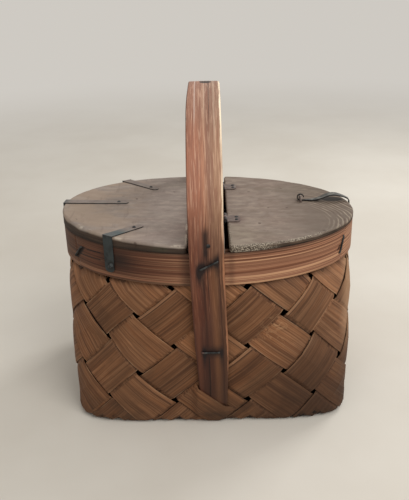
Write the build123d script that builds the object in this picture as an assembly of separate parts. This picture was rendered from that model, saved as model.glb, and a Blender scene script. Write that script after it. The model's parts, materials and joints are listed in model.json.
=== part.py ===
"""Oval splint basket with a bentwood hoop handle, one fixed lid board and one hinged lid board.

Millimetres.  +X runs along the basket to the hinged lid board, +Y to the back, +Z up.
The origin is on the floor, under the middle of the basket.
"""
from build123d import *
import math
import os

# ---- rim: two bentwood strips outside the woven wall and a hoop inside it
rim_half_length = 189.0
rim_half_width = 132.0
rim_band_thickness = 4.0
rim_band_height = 41.5
rim_bottom_height = 198.5
rim_hoop_thickness = 4.0
rim_hoop_height = 32.0
left_joint_setback = 69.0  # how far in front of the middle the two outer strips meet
right_joint_setback = 65.0
rim_joint_gap = 0.4

# ---- woven wall
seat_gap = 0.3  # between the woven wall and the wood that holds it
wall_thickness = 5.0
wall_top_drop = 2.0  # how far the wall stops under the top of the rim
rim_tuck = 1.0  # how far under the rim the wall has drawn in to fit inside it
belly_height = 115.0
belly_swell_length = 4.5  # how far the belly stands out past the wall at the rim
belly_swell_width = 3.3
base_height = 10.0  # where the wall starts to turn into the base
base_draw_length = 8.0  # how far the wall draws in from belly to base
base_draw_width = 2.5
base_turn = 7.0  # how far the rounded turn into the base reaches inwards
rim_squareness = 2.0  # 2 is an ellipse, more is squarer
turn_steps = 3  # sections of the wall's shape in its turn into the base, and above it
wall_steps = 8
belly_squareness = 2.7
base_squareness = 6.0

# ---- hoop handle
handle_width = 40.5
handle_thickness = 7.0
handle_clearance = 0.3  # between the handle and the rim
handle_height = 410.0
handle_foot_width = 34.0
handle_foot_thickness = 3.2
handle_foot_height = 26.0
handle_taper_height = 117.0  # below this the legs grow narrower and thinner
handle_foot_gap = 0.6  # between the foot and the woven wall
tuck_splint_width = 57.0
tuck_splint_thickness = 1.8
tuck_splint_length = 74.0
tuck_splint_height = 30.0  # of the stretch that stands clear of the wall
tuck_splint_rise = 4.0  # of its middle above the end of the foot
tuck_splint_slope = 42.0

# ---- centre bar and lid boards
bar_width = 37.0
bar_thickness = 18.0
board_gap = 5.5  # between the centre bar and each lid board
lid_overhang = 0.4
left_board_inner_thickness = 9.5
left_board_outer_thickness = 16.0
right_board_inner_thickness = 8.5
right_board_outer_thickness = 6.0
board_round = 2.5
lid_running_gap = 0.3  # between the hinged board and the rim

# ---- iron straps that hold the left board: place on the edge, heading and length on top
strap_thickness = 1.3
strap_root_width = 13.0
strap_tip_width = 10.0
strap_drop = 34.5  # length of the leg over the rim
strap_seat = 0.1
front_strap_place = 231.5
front_strap_heading = 42.0
front_strap_length = 51.0
end_strap_place = 175.5
end_strap_heading = 1.0
end_strap_length = 83.0
back_strap_place = 128.5
back_strap_heading = -38.0
back_strap_length = 60.0

# ---- nails, rivets and staples
nail_radius = 1.1
nail_head_radius = 2.4
nail_head_height = 1.0
drill_clearance = 0.05
strap_nail_setback = 12.5  # from the tip of a strap
strap_nail_cover = 2.0  # of wood under the nail's point
strap_rivet_setback = 8.0  # from the lower end of a strap's leg
handle_nail_height = 13.0  # above the top of the rim
handle_nail_length = 22.0
staple_wire_radius = 1.1
staple_seat = 0.1  # between the back of a staple and the wood
upper_staple_height = 30.3  # above the bottom of the rim, as the rim staples' height is
upper_staple_span = 22.5
upper_staple_slope = 26.5
lower_staple_height = 113.0  # above the floor
lower_staple_span = 20.5
rim_staple_height = 21.0
rim_staple_span = 22.0
left_rim_staple_slope = 46.0
right_rim_staple_slope = 68.0

# ---- strap hinges of the right board
hinge_pin_radius = 1.2
hinge_knuckle_radius = 2.6
hinge_running_gap = 0.06  # radial, between pin and knuckle
hinge_leaf_thickness = 1.4
hinge_width = 20.0
hinge_middle_knuckle = 6.4
hinge_knuckle_gap = 0.3
hinge_leaf_length = 16.0
hinge_bar_leaf_drop = 9.5
front_hinge_place = -47.0
back_hinge_place = 78.0
hinge_nail_inset = 4.5
hinge_nail_length = 6.0
pin_head_radius = 2.0
pin_head_height = 1.0

# ---- hasp of the right board
hasp_place = 20.0  # how far behind the middle it lies
hasp_eye_distance = 124.0  # from the middle of the basket to the eye
hasp_eye_radius = 4.9
hasp_wire_radius = 1.5
hasp_running_gap = 0.07
hasp_eye_width = 4.5
hasp_bow_width = 13.0
hasp_nose_width = 5.0
hasp_thickness = 1.6
hasp_flat_length = 21.0
hasp_bow_height = 7.5
hasp_bow_crest = 43.0  # from the eye to the top of the bow
hasp_bow_rise_length = 7.0  # of the bow's level top before its crest
hasp_bow_fall_length = 5.0
hasp_lid_gap = 0.3
hasp_nose_gap = 0.6
hasp_nose_drop = 22.0  # below the underside of the lid board
hasp_shoulder_length = 7.0  # of the bend over the edge of the lid
hasp_shoulder_rise = 3.5
hasp_shoulder_fall = 2.5
hasp_toe_height = 6.6  # how far under the rim's top the toe starts to flare
hasp_toe_length = 6.0
hasp_toe_flare = 2.2
hasp_bend_radius = 3.0
hasp_staple_depth = 5.0
catch_drop = 13.0  # catch nail below the top of the rim

# ---- sizes that follow from those above
rim_top = rim_bottom_height + rim_band_height
wall_top_half_length = rim_half_length - rim_band_thickness - seat_gap
wall_top_half_width = rim_half_width - rim_band_thickness - seat_gap
lid_half_length = rim_half_length + lid_overhang
lid_half_width = rim_half_width + lid_overhang
handle_inner = rim_half_width + handle_clearance
handle_outer = handle_inner + handle_thickness
arch_base = handle_height - handle_outer
board_inner_edge = bar_width / 2 + board_gap
board_reach = lid_half_length - board_inner_edge
left_slope = (left_board_outer_thickness - left_board_inner_thickness) / board_reach
right_slope = (right_board_inner_thickness - right_board_outer_thickness) / board_reach
left_board_top = rim_top + left_board_inner_thickness
right_board_bottom = rim_top + lid_running_gap
right_board_top = right_board_bottom + right_board_inner_thickness
hinge_axis_x = bar_width / 2 + board_gap / 2
hinge_axis_z = right_board_top + hinge_knuckle_radius
knuckle_hole_radius = hinge_pin_radius + hinge_running_gap


def wall_size(height):
    """Half length, half width and squareness of the wall's outer face at a height."""
    if height >= belly_height:
        rise = (height - belly_height) / (rim_bottom_height - rim_tuck - belly_height)
        swell = math.sqrt(max(0.0, 1 - min(rise, 1) ** 2))
        square = rim_squareness + (belly_squareness - rim_squareness) * swell
        return (wall_top_half_length + belly_swell_length * swell,
                wall_top_half_width + belly_swell_width * swell, square)
    fall = (belly_height - height) / (belly_height - base_height)
    draw = 0.5 - 0.5 * math.cos(math.pi * min(fall, 1))
    square = belly_squareness + (base_squareness - belly_squareness) * min(fall, 1)
    turn = max(0.0, 1 - height / base_height)
    inset = base_turn * (1 - math.sqrt(max(0.0, 1 - turn ** 2)))
    return (wall_top_half_length + belly_swell_length - base_draw_length * draw - inset,
            wall_top_half_width + belly_swell_width - base_draw_width * draw - inset, square)


def oval(half_length, half_width, squareness, height):
    """A level superellipse face."""
    steps = 32
    points = []
    for step in range(steps):
        angle = 2 * math.pi * step / steps
        along = math.copysign(abs(math.cos(angle)) ** (2 / squareness), math.cos(angle))
        across = math.copysign(abs(math.sin(angle)) ** (2 / squareness), math.sin(angle))
        points.append((half_length * along, half_width * across, height))
    return Face(Wire([Edge.make_spline([Vector(*point) for point in points], periodic=True)]))


def edge_point(place, half_length, half_width):
    """A point of an ellipse and its outward heading in degrees, for a place in degrees round it."""
    angle = math.radians(place)
    point = Vector(half_length * math.cos(angle), half_width * math.sin(angle))
    normal = Vector(math.cos(angle) / half_length, math.sin(angle) / half_width)
    return point, math.degrees(math.atan2(normal.Y, normal.X))


def half_chord(offset, half_axis, other_half_axis):
    """Half the chord of an ellipse at an offset along the other axis."""
    return half_axis * math.sqrt(max(0.0, 1 - (offset / other_half_axis) ** 2))


def woven_body():
    """The woven wall and base as one open shell."""
    wall_top = rim_top - wall_top_drop
    turn_angles = range(0, 91, 90 // turn_steps)
    heights = [base_height * (1 - math.cos(math.radians(angle))) for angle in turn_angles]
    neck = rim_bottom_height - rim_tuck
    heights += [base_height + (neck - base_height) * step / wall_steps
                for step in range(1, wall_steps + 1)] + [wall_top]
    outer_sections = [oval(*wall_size(height), height) for height in heights]
    inner_sections = []
    for height in heights:
        length, width, square = wall_size(height)
        level = wall_thickness + height * (wall_top - wall_thickness) / wall_top
        inner_sections.append(oval(length - wall_thickness, width - wall_thickness, square, level))
    outer_faces = loft(outer_sections, ruled=True).faces().sort_by(Axis.Z)
    inner_faces = loft(inner_sections, ruled=True).faces().sort_by(Axis.Z)
    top_edge = Face(outer_faces[-1].outer_wire(), [inner_faces[-1].outer_wire()])
    return Solid(Shell([*outer_faces[:-1], *inner_faces[:-1], top_edge])).fix()


def elliptic_ring(half_length, half_width, thickness, bottom, height):
    """An upright oval band, whose faces start and end at the front, clear of all fastenings."""
    ring = Ellipse(half_width, half_length) - Ellipse(half_width - thickness, half_length - thickness)
    return Pos(0, 0, bottom) * extrude(Rot(0, 0, -90) * ring, height)


def rim_joint(side):
    """Where the outer strips meet at one end, and the way out of the rim there."""
    setback = left_joint_setback if side < 0 else right_joint_setback
    x = side * half_chord(setback, rim_half_length, rim_half_width)
    outward = Vector(x / rim_half_length ** 2, -setback / rim_half_width ** 2)
    return Vector(x, -setback), outward.normalized()


def front_room(shift):
    """The room in front of both joints, with its sides square to the strips and shifted back."""
    room = Box(4 * rim_half_length, 4 * rim_half_length, 4 * rim_top)
    for side in (-1, 1):
        joint, outward = rim_joint(side)
        backward = Vector(-outward.Y, outward.X) * side
        cut = Plane(origin=joint + backward * shift, z_dir=backward)
        room = split(room, bisect_by=cut, keep=Keep.BOTTOM)
    return room


def rim_bands(spots, staple_spots):
    """The front and back outer strips, drilled and cut apart where they meet near the two ends."""
    ring = elliptic_ring(rim_half_length, rim_half_width, rim_band_thickness,
                         rim_bottom_height, rim_band_height)
    ring = drilled(drilled(ring, spots), staple_spots, staple_wire_radius)
    return ring & front_room(-rim_joint_gap / 2), ring - front_room(rim_joint_gap / 2)


def rim_hoop():
    """The inner hoop, flush with the top of the outer strips."""
    inset = rim_band_thickness + wall_thickness + 2 * seat_gap
    return elliptic_ring(rim_half_length - inset, rim_half_width - inset, rim_hoop_thickness,
                         rim_top - rim_hoop_height, rim_hoop_height)


def foot_inner():
    """Distance of the foot's inner face from the middle."""
    return wall_size(handle_foot_height)[1] + handle_foot_gap


def leg_outer(height):
    """Distance of the leg's outer face from the middle at a height."""
    if height >= handle_taper_height:
        return handle_outer
    share = (height - handle_foot_height) / (handle_taper_height - handle_foot_height)
    foot_outer = foot_inner() + handle_foot_thickness
    return foot_outer + (handle_outer - foot_outer) * share


def handle_hoop():
    """The bent hoop: a round arch on two straight legs that thin towards their feet."""
    foot_outer = foot_inner() + handle_foot_thickness
    outer_line = [
        Line((-foot_outer, handle_foot_height), (-handle_outer, handle_taper_height)),
        Line((-handle_outer, handle_taper_height), (-handle_outer, arch_base)),
        ThreePointArc((-handle_outer, arch_base), (0, handle_height), (handle_outer, arch_base)),
        Line((handle_outer, arch_base), (handle_outer, handle_taper_height)),
        Line((handle_outer, handle_taper_height), (foot_outer, handle_foot_height)),
    ]
    inner_line = [
        Line((foot_outer, handle_foot_height), (foot_inner(), handle_foot_height)),
        Line((foot_inner(), handle_foot_height), (handle_inner, handle_taper_height)),
        Line((handle_inner, handle_taper_height), (handle_inner, arch_base)),
        ThreePointArc((handle_inner, arch_base), (0, handle_height - handle_thickness),
                      (-handle_inner, arch_base)),
        Line((-handle_inner, arch_base), (-handle_inner, handle_taper_height)),
        Line((-handle_inner, handle_taper_height), (-foot_inner(), handle_foot_height)),
        Line((-foot_inner(), handle_foot_height), (-foot_outer, handle_foot_height)),
    ]
    side = make_face(outer_line + inner_line)
    hoop = extrude(Plane.YZ * side, handle_width / 2, both=True)
    front_shape = Polyline(
        (-handle_foot_width / 2, 0), (handle_foot_width / 2, 0),
        (handle_foot_width / 2, handle_foot_height), (handle_width / 2, handle_taper_height),
        (handle_width / 2, handle_height + 1), (-handle_width / 2, handle_height + 1),
        (-handle_width / 2, handle_taper_height), (-handle_foot_width / 2, handle_foot_height),
        close=True)
    return hoop & extrude(Plane.XZ * make_face(front_shape), handle_outer + 1, both=True)


def tuck_splint(side):
    """The splint of the wall that crosses over a foot of the handle; side is -1 front, 1 back."""
    middle = handle_foot_height + tuck_splint_rise
    top = middle + tuck_splint_height / 2
    wall = wall_size(top)[1] + seat_gap + tuck_splint_thickness / 2
    face = leg_outer(top) + seat_gap + tuck_splint_thickness / 2
    near = handle_width / 2 + tuck_splint_thickness
    far = tuck_splint_length / 2
    path = FilletPolyline((-far, wall), (-near, face), (near, face), (far, wall),
                          radius=tuck_splint_thickness)
    bridge = Pos(0, 0, middle - tuck_splint_height / 2) * extrude(
        trace(path, line_width=tuck_splint_thickness), tuck_splint_height)
    strip = Rot(0, 0, tuck_splint_slope) * Rectangle(2 * tuck_splint_length, tuck_splint_width)
    bridge = bridge & extrude(Plane.XZ * (Pos(0, middle) * strip), 2 * rim_half_width, both=True)
    return bridge if side > 0 else Rot(0, 0, 180) * bridge


def centre_bar():
    """The batten between the handle's legs, lying on the rim."""
    return Pos(0, 0, rim_top + bar_thickness / 2) * Box(bar_width, 2 * handle_inner, bar_thickness)


def lid_board(side, bottom, inner_thickness, slope):
    """Half an oval board with a sloping top; side is -1 left, 1 right."""
    outline = Ellipse(lid_half_length, lid_half_width)
    window = Pos(side * (board_inner_edge + lid_half_length / 2), 0) * Rectangle(
        lid_half_length, 3 * lid_half_width)
    tall = left_board_outer_thickness + right_board_inner_thickness
    block = Pos(0, 0, bottom) * extrude(outline & window, tall)
    top = board_top_plane(side, bottom + inner_thickness, slope)
    board = split(block, bisect_by=top, keep=Keep.BOTTOM)
    rim_edges = board.faces().sort_by(Axis.Z)[-1].edges().filter_by(GeomType.LINE, reverse=True)
    return fillet(rim_edges, min(board_round, 0.45 * inner_thickness))


def board_top_plane(side, inner_top, slope):
    """The sloping top of a lid board, with its origin at the board's inner edge."""
    return Plane(origin=(side * board_inner_edge, 0, inner_top), x_dir=(1, 0, -slope),
                 z_dir=(slope, 0, 1))


def left_top_height(x):
    """Height of the left board's top."""
    return left_board_top - left_slope * (x + board_inner_edge)


def strap(place, heading, length):
    """An iron strap: a leaf on the left board and a leg down over the rim."""
    root, outward = edge_point(place, lid_half_length, lid_half_width)
    across = Vector(-math.sin(math.radians(outward)), math.cos(math.radians(outward)))
    ahead = Vector(math.cos(math.radians(heading)), math.sin(math.radians(heading)))
    beside = Vector(-ahead.Y, ahead.X)
    out = Vector(math.cos(math.radians(outward)), math.sin(math.radians(outward)))
    start = root + out * (strap_seat + strap_thickness)
    tip = root + ahead * (length - strap_tip_width / 2)
    corners = [start - across * strap_root_width / 2, start + across * strap_root_width / 2]
    if beside.dot(across) > 0:
        corners.reverse()
    corners += [tip - beside * strap_tip_width / 2, tip + beside * strap_tip_width / 2]
    leaf = make_face(Polyline(*[(c.X, c.Y) for c in corners], close=True))
    leaf += Pos(tip.X, tip.Y) * Circle(strap_tip_width / 2)
    top = board_top_plane(-1, left_board_top, left_slope)
    flat = Plane(origin=(0, 0, left_top_height(0)), x_dir=top.x_dir, z_dir=top.z_dir)
    plate = extrude(flat * leaf, strap_thickness)
    leg_top = left_top_height(root.X) + strap_thickness
    leg_length = strap_drop + left_top_height(root.X) - rim_top
    leg_sketch = Rectangle(strap_root_width, leg_length, align=(Align.CENTER, Align.MAX))
    leg_sketch = fillet(leg_sketch.vertices().sort_by(Axis.Y)[:2], strap_root_width * 0.4)
    frame = Plane(origin=(root.X + out.X * strap_seat, root.Y + out.Y * strap_seat, leg_top),
                  x_dir=(across.X, across.Y, 0), z_dir=(out.X, out.Y, 0))
    leg = extrude(frame * leg_sketch, strap_thickness)
    return plate + leg


def strap_nail(place, heading, length):
    """Seat, direction and depth of the nail near the tip of a strap."""
    root, _ = edge_point(place, lid_half_length, lid_half_width)
    turn = math.radians(heading)
    reach = length - strap_nail_setback
    x = root.X + reach * math.cos(turn)
    y = root.Y + reach * math.sin(turn)
    seat = (x, y, left_top_height(x) + strap_thickness * math.hypot(1, left_slope))
    return seat, (left_slope, 0, 1), left_board_inner_thickness - strap_nail_cover


def strap_rivet(place):
    """Seat, direction and depth of the rivet near the end of a strap's leg."""
    root, outward = edge_point(place, lid_half_length, lid_half_width)
    out = Vector(math.cos(math.radians(outward)), math.sin(math.radians(outward)))
    seat = root + out * (strap_seat + strap_thickness)
    height = rim_top - strap_drop + strap_rivet_setback
    depth = strap_thickness + strap_seat + lid_overhang + rim_band_thickness * 0.7
    return (seat.X, seat.Y, height), (out.X, out.Y, 0), depth


def nail(seat, direction, depth):
    """A nail whose head lies on seat and whose shank goes depth into the wood."""
    frame = Plane(origin=seat, z_dir=direction)
    shank = extrude(frame * Circle(nail_radius), -depth)
    head = frame * Cone(nail_head_radius, 0.6 * nail_head_radius, nail_head_height,
                        align=(Align.CENTER, Align.CENTER, Align.MIN))
    return shank + head


def drilled(host, spots, radius=nail_radius):
    """The host with a hole for each nail or wire, given as seat, direction and depth."""
    hole = Circle(radius + drill_clearance)
    holes = [extrude(Plane(origin=seat, z_dir=direction).offset(drill_clearance) * hole,
                     -(depth + 2 * drill_clearance)) for seat, direction, depth in spots]
    return host - holes


def wire_staple(middle, along, inward, span, depth):
    """A staple of round wire: its back lies along a face and its legs go inward."""
    half = along * (span / 2)
    stand = staple_wire_radius + staple_seat
    points = [middle - half + inward * depth, middle - half - inward * stand,
              middle + half - inward * stand, middle + half + inward * depth]
    path = FilletPolyline(*points, radius=stand)
    start = Plane(origin=path @ 0, z_dir=path % 0)
    return sweep(start * Circle(staple_wire_radius), path)


def staple_legs(middle, along, inward, span, depth):
    """Start, direction and depth of the two legs of a staple."""
    stand = staple_wire_radius + staple_seat
    return [(middle + along * (side * span / 2) - inward * stand, inward * -1, depth + stand)
            for side in (-1, 1)]


def handle_staple(side, height, span, slope, depth):
    """Placing of a staple on a leg of the handle; side is -1 front, 1 back."""
    turn = math.radians(slope)
    along = Vector(math.cos(turn) * -side, 0, math.sin(turn))
    middle = Vector(0, side * leg_outer(height), height)
    return middle, along, Vector(0, -side, 0), span, depth


def rim_staple(side):
    """Placing of the staple that closes the rim's joint; side is -1 left, 1 right."""
    joint, outward = rim_joint(side)
    level = Vector(-outward.Y, outward.X)
    turn = math.radians(left_rim_staple_slope if side < 0 else right_rim_staple_slope)
    along = level * math.cos(turn) + Vector(0, 0, math.sin(turn))
    middle = joint + Vector(0, 0, rim_bottom_height + rim_staple_height)
    return middle, along, outward * -1, rim_staple_span, rim_band_thickness * 0.8


def knuckles(place, spans):
    """Barrels round the hinge axis over spans of the hinge's width."""
    barrels = None
    for start, end in spans:
        ring = Circle(hinge_knuckle_radius) - Circle(knuckle_hole_radius)
        frame = Plane(origin=(hinge_axis_x, place + start, hinge_axis_z), z_dir=(0, 1, 0))
        barrel = extrude(frame * ring, end - start)
        barrels = barrel if barrels is None else barrels + barrel
    return barrels


def knuckle_bore(place):
    """The hole along the hinge axis."""
    frame = Plane(origin=(hinge_axis_x, place - hinge_width, hinge_axis_z), z_dir=(0, 1, 0))
    return extrude(frame * Circle(knuckle_hole_radius), 2 * hinge_width)


def bar_leaf(place):
    """The leaf nailed to the side of the centre bar, with its two outer knuckles."""
    half = hinge_width / 2
    inner = hinge_middle_knuckle / 2 + hinge_knuckle_gap
    leaf = None
    for start, end in ((-half, -inner), (inner, half)):
        tongue = Pos(bar_width / 2, place + start, hinge_axis_z - hinge_bar_leaf_drop / 2) * Box(
            hinge_leaf_thickness, end - start, hinge_bar_leaf_drop / 2,
            align=(Align.MIN, Align.MIN, Align.MIN))
        leaf = tongue if leaf is None else leaf + tongue
    plate = Pos(bar_width / 2, place, hinge_axis_z - hinge_bar_leaf_drop) * Box(
        hinge_leaf_thickness, hinge_width, hinge_bar_leaf_drop - hinge_knuckle_radius - 0.4,
        align=(Align.MIN, Align.CENTER, Align.MIN))
    leaf = leaf + plate + knuckles(place, ((-half, -inner), (inner, half)))
    return leaf - knuckle_bore(place)


def lid_leaf(place):
    """The leaf nailed on top of the right board, with the middle knuckle."""
    half = hinge_middle_knuckle / 2
    reach = board_inner_edge + hinge_leaf_length
    tongue = Pos(hinge_axis_x, place, right_board_top) * Box(
        board_inner_edge - hinge_axis_x + 1, hinge_middle_knuckle, hinge_leaf_thickness,
        align=(Align.MIN, Align.CENTER, Align.MIN))
    plate = Pos(board_inner_edge, place, right_board_top) * Box(
        reach - board_inner_edge, hinge_width, hinge_leaf_thickness,
        align=(Align.MIN, Align.CENTER, Align.MIN))
    plate = fillet(plate.edges().filter_by(Axis.Z).group_by(Axis.X)[-1], hinge_width * 0.2)
    return plate + tongue + knuckles(place, ((-half, half),)) - knuckle_bore(place)


def hinge_pin(place):
    """The pin with a head at each end."""
    half = hinge_width / 2
    frame = Plane(origin=(hinge_axis_x, place - half, hinge_axis_z), z_dir=(0, 1, 0))
    pin = extrude(frame * Circle(hinge_pin_radius), hinge_width)
    for start in (-pin_head_height, hinge_width):
        pin = pin + extrude(frame.offset(start) * Circle(pin_head_radius), pin_head_height)
    return pin


def bar_leaf_nails(place):
    """Seats of the nails of a bar leaf."""
    x = bar_width / 2 + hinge_leaf_thickness
    z = hinge_axis_z - hinge_bar_leaf_drop + nail_head_radius + 0.2
    return [((x, place + side * hinge_nail_inset, z), (1, 0, 0), hinge_nail_length)
            for side in (-1, 1)]


def lid_leaf_nails(place):
    """Seats of the nails of a lid leaf."""
    x = board_inner_edge + hinge_leaf_length - hinge_nail_inset
    z = right_board_top + hinge_leaf_thickness
    return [((x, place + side * hinge_nail_inset, z), (0, 0, 1), hinge_nail_length)
            for side in (-1, 1)]


def right_top_height(x):
    """Height of the right board's top."""
    return right_board_top - right_slope * (x - board_inner_edge)


def hasp_eye_height():
    """Height of the hasp's axis."""
    return right_top_height(hasp_eye_distance) + hasp_lid_gap + hasp_eye_radius


def hasp():
    """The strap with a rolled eye, a wide bow for the thumb and a nose over the edge of the lid."""
    low = hasp_eye_height() - hasp_eye_radius + hasp_thickness / 2
    near_edge = hasp_place - hasp_nose_width / 2
    edge = half_chord(near_edge, lid_half_length, lid_half_width)
    nose = edge + hasp_nose_gap + hasp_thickness / 2
    bow_rise = low + hasp_bow_height
    flat_end = hasp_eye_distance + hasp_flat_length
    crest = hasp_eye_distance + hasp_bow_crest
    bottom = rim_top - hasp_nose_drop
    flare = rim_top - hasp_toe_height
    path = FilletPolyline(
        (hasp_eye_distance, low), (flat_end, low), (crest - hasp_bow_rise_length, bow_rise),
        (crest + hasp_bow_fall_length, bow_rise),
        (nose - hasp_shoulder_length, low + hasp_shoulder_rise),
        (nose, low - hasp_shoulder_fall), (nose, flare),
        (nose + hasp_toe_flare, flare - hasp_toe_length), (nose + hasp_toe_flare, bottom),
        radius=hasp_bend_radius)
    strip = trace(path, line_width=hasp_thickness)
    strip += Pos(hasp_eye_distance, hasp_eye_height()) * Circle(hasp_eye_radius)
    strip -= Pos(hasp_eye_distance, hasp_eye_height()) * Circle(hasp_wire_radius + hasp_running_gap)
    body = extrude(Plane.XZ * strip, hasp_bow_width, both=True)
    body = body & extrude(hasp_outline(nose), 2 * hasp_eye_height())
    return Pos(0, hasp_place, 0) * body


def hasp_outline(nose):
    """The hasp from above: a narrow eye, a leaf-shaped bow and a narrow nose."""
    start = hasp_eye_distance - 2 * hasp_eye_radius
    neck = hasp_eye_distance + hasp_eye_radius
    crest = hasp_eye_distance + hasp_bow_crest
    bend = nose - hasp_shoulder_length / 2
    eye, bow, toe = hasp_eye_width / 2, hasp_bow_width / 2, hasp_nose_width / 2
    return make_face([
        Line((start, eye), (start, -eye)), Line((start, -eye), (neck, -eye)),
        ThreePointArc((neck, -eye), (crest, -bow), (bend, -toe)),
        Line((bend, -toe), (2 * nose, -toe)), Line((2 * nose, -toe), (2 * nose, toe)),
        Line((2 * nose, toe), (bend, toe)),
        ThreePointArc((bend, toe), (crest, bow), (neck, eye)), Line((neck, eye), (start, eye))])


def hasp_staple_points():
    """The corners of the staple through the hasp's eye."""
    half = hasp_eye_width / 2 + hasp_lid_gap + hasp_wire_radius * 2.2
    x = hasp_eye_distance
    bottom = right_top_height(x) - hasp_staple_depth
    return [Vector(x, hasp_place - half, bottom), Vector(x, hasp_place - half, hasp_eye_height()),
            Vector(x, hasp_place + half, hasp_eye_height()), Vector(x, hasp_place + half, bottom)]


def hasp_staple():
    """The wire staple that the hasp turns on."""
    path = FilletPolyline(*hasp_staple_points(), radius=hasp_wire_radius * 1.4)
    start = Plane(origin=path @ 0, z_dir=path % 0)
    return sweep(start * Circle(hasp_wire_radius), path)


def catch_nail():
    """The nail in the rim under the hasp's toe."""
    x = half_chord(hasp_place, rim_half_length, rim_half_width)
    outward = (x / rim_half_length ** 2, hasp_place / rim_half_width ** 2, 0)
    return (x, hasp_place, rim_top - catch_drop), outward, rim_band_thickness * 0.8


def assembly():
    """Every node of the basket by name."""
    nodes = {}
    straps = {
        "strap_front_left": (front_strap_place, front_strap_heading, front_strap_length),
        "strap_end_left": (end_strap_place, end_strap_heading, end_strap_length),
        "strap_back_left": (back_strap_place, back_strap_heading, back_strap_length),
    }
    strap_nails = [strap_nail(*strap_sizes) for strap_sizes in straps.values()]
    strap_rivets = [strap_rivet(strap_sizes[0]) for strap_sizes in straps.values()]
    handle_nails = [((0, side * handle_outer, rim_top + handle_nail_height), (0, side, 0),
                     handle_nail_length) for side in (-1, 1)]
    hinges = {"hinge_front": front_hinge_place, "hinge_back": back_hinge_place}
    bar_nails = [spot for place in hinges.values() for spot in bar_leaf_nails(place)]
    board_nails = [spot for place in hinges.values() for spot in lid_leaf_nails(place)]
    wall_leg = handle_thickness + rim_band_thickness
    upper_height = rim_bottom_height + upper_staple_height
    handle_staples = {
        "handle_staple_front_upper": handle_staple(-1, upper_height, upper_staple_span,
                                                   upper_staple_slope, wall_leg),
        "handle_staple_front_lower": handle_staple(-1, lower_staple_height, lower_staple_span,
                                                   0, handle_thickness * 0.7),
        "handle_staple_back_upper": handle_staple(1, upper_height, upper_staple_span,
                                                  upper_staple_slope, wall_leg),
        "handle_staple_back_lower": handle_staple(1, lower_staple_height, lower_staple_span,
                                                  0, handle_thickness * 0.7),
    }
    rim_staples = {"rim_staple_left": rim_staple(-1), "rim_staple_right": rim_staple(1)}
    handle_legs = [leg for staple in handle_staples.values() for leg in staple_legs(*staple)]
    rim_legs = [leg for staple in rim_staples.values() for leg in staple_legs(*staple)]
    catch = catch_nail()

    nodes["woven_body"] = woven_body()
    nodes["tuck_splint_front"] = tuck_splint(-1)
    nodes["tuck_splint_back"] = tuck_splint(1)
    band_front, band_back = rim_bands(strap_rivets + [catch], handle_legs + rim_legs)
    nodes["rim_band_front"] = band_front
    nodes["rim_band_back"] = band_back
    nodes["rim_hoop_inner"] = rim_hoop()
    nodes["handle_hoop"] = drilled(drilled(handle_hoop(), handle_nails), handle_legs,
                                   staple_wire_radius)
    nodes["centre_bar"] = drilled(centre_bar(), handle_nails + bar_nails)
    nodes["lid_left"] = drilled(lid_board(-1, rim_top, left_board_inner_thickness, left_slope),
                                strap_nails)
    right_board = lid_board(1, right_board_bottom, right_board_inner_thickness, right_slope)
    staple_spots = [((end.X, end.Y, right_top_height(end.X)), (0, 0, 1), hasp_staple_depth)
                    for end in (hasp_staple_points()[0], hasp_staple_points()[3])]
    nodes["lid_right"] = drilled(drilled(right_board, board_nails), staple_spots, hasp_wire_radius)
    for (name, sizes), spot, rivet in zip(straps.items(), strap_nails, strap_rivets):
        nodes[name] = drilled(strap(*sizes), [spot, rivet])
    nodes["strap_nails"] = Compound(children=[nail(*spot) for spot in strap_nails])
    nodes["strap_rivets"] = Compound(children=[nail(*spot) for spot in strap_rivets])
    nodes["handle_nails"] = Compound(children=[nail(*spot) for spot in handle_nails])
    for name, place in hinges.items():
        nodes[name + "_bar_leaf"] = drilled(bar_leaf(place), bar_leaf_nails(place))
        nodes[name + "_lid_leaf"] = drilled(lid_leaf(place), lid_leaf_nails(place))
        nodes[name + "_pin"] = hinge_pin(place)
    nodes["hinge_bar_nails"] = Compound(children=[nail(*spot) for spot in bar_nails])
    nodes["hinge_lid_nails"] = Compound(children=[nail(*spot) for spot in board_nails])
    nodes["hasp"] = hasp()
    nodes["hasp_staple"] = hasp_staple()
    nodes["catch_nail"] = nail(*catch)
    for name, sizes in {**handle_staples, **rim_staples}.items():
        nodes[name] = wire_staple(*sizes)
    return nodes


os.makedirs("parts", exist_ok=True)
for node, shape in assembly().items():
    export_step(shape, f"parts/{node}.step")
print("lid hinge axis", hinge_axis_x, hinge_axis_z)
print("hasp axis", hasp_eye_distance, hasp_place, hasp_eye_height())
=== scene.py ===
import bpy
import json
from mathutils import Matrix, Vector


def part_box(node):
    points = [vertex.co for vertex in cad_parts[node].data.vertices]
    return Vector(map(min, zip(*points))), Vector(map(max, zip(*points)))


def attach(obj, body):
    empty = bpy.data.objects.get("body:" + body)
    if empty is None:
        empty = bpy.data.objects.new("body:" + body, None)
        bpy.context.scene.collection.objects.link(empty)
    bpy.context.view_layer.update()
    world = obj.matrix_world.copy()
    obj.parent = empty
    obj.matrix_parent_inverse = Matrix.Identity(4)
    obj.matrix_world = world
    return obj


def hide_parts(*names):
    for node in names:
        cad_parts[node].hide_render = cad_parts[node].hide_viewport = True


bl_info = {
    "name": "Splint Basket",
    "version": (1, 0, 0),
    "blender": (4, 5, 0),
    "location": "View3D > Sidebar > Basket",
    "description": "Dresses an oval splint basket with a bentwood hoop handle and lid boards",
    "category": "Object",
}

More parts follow.
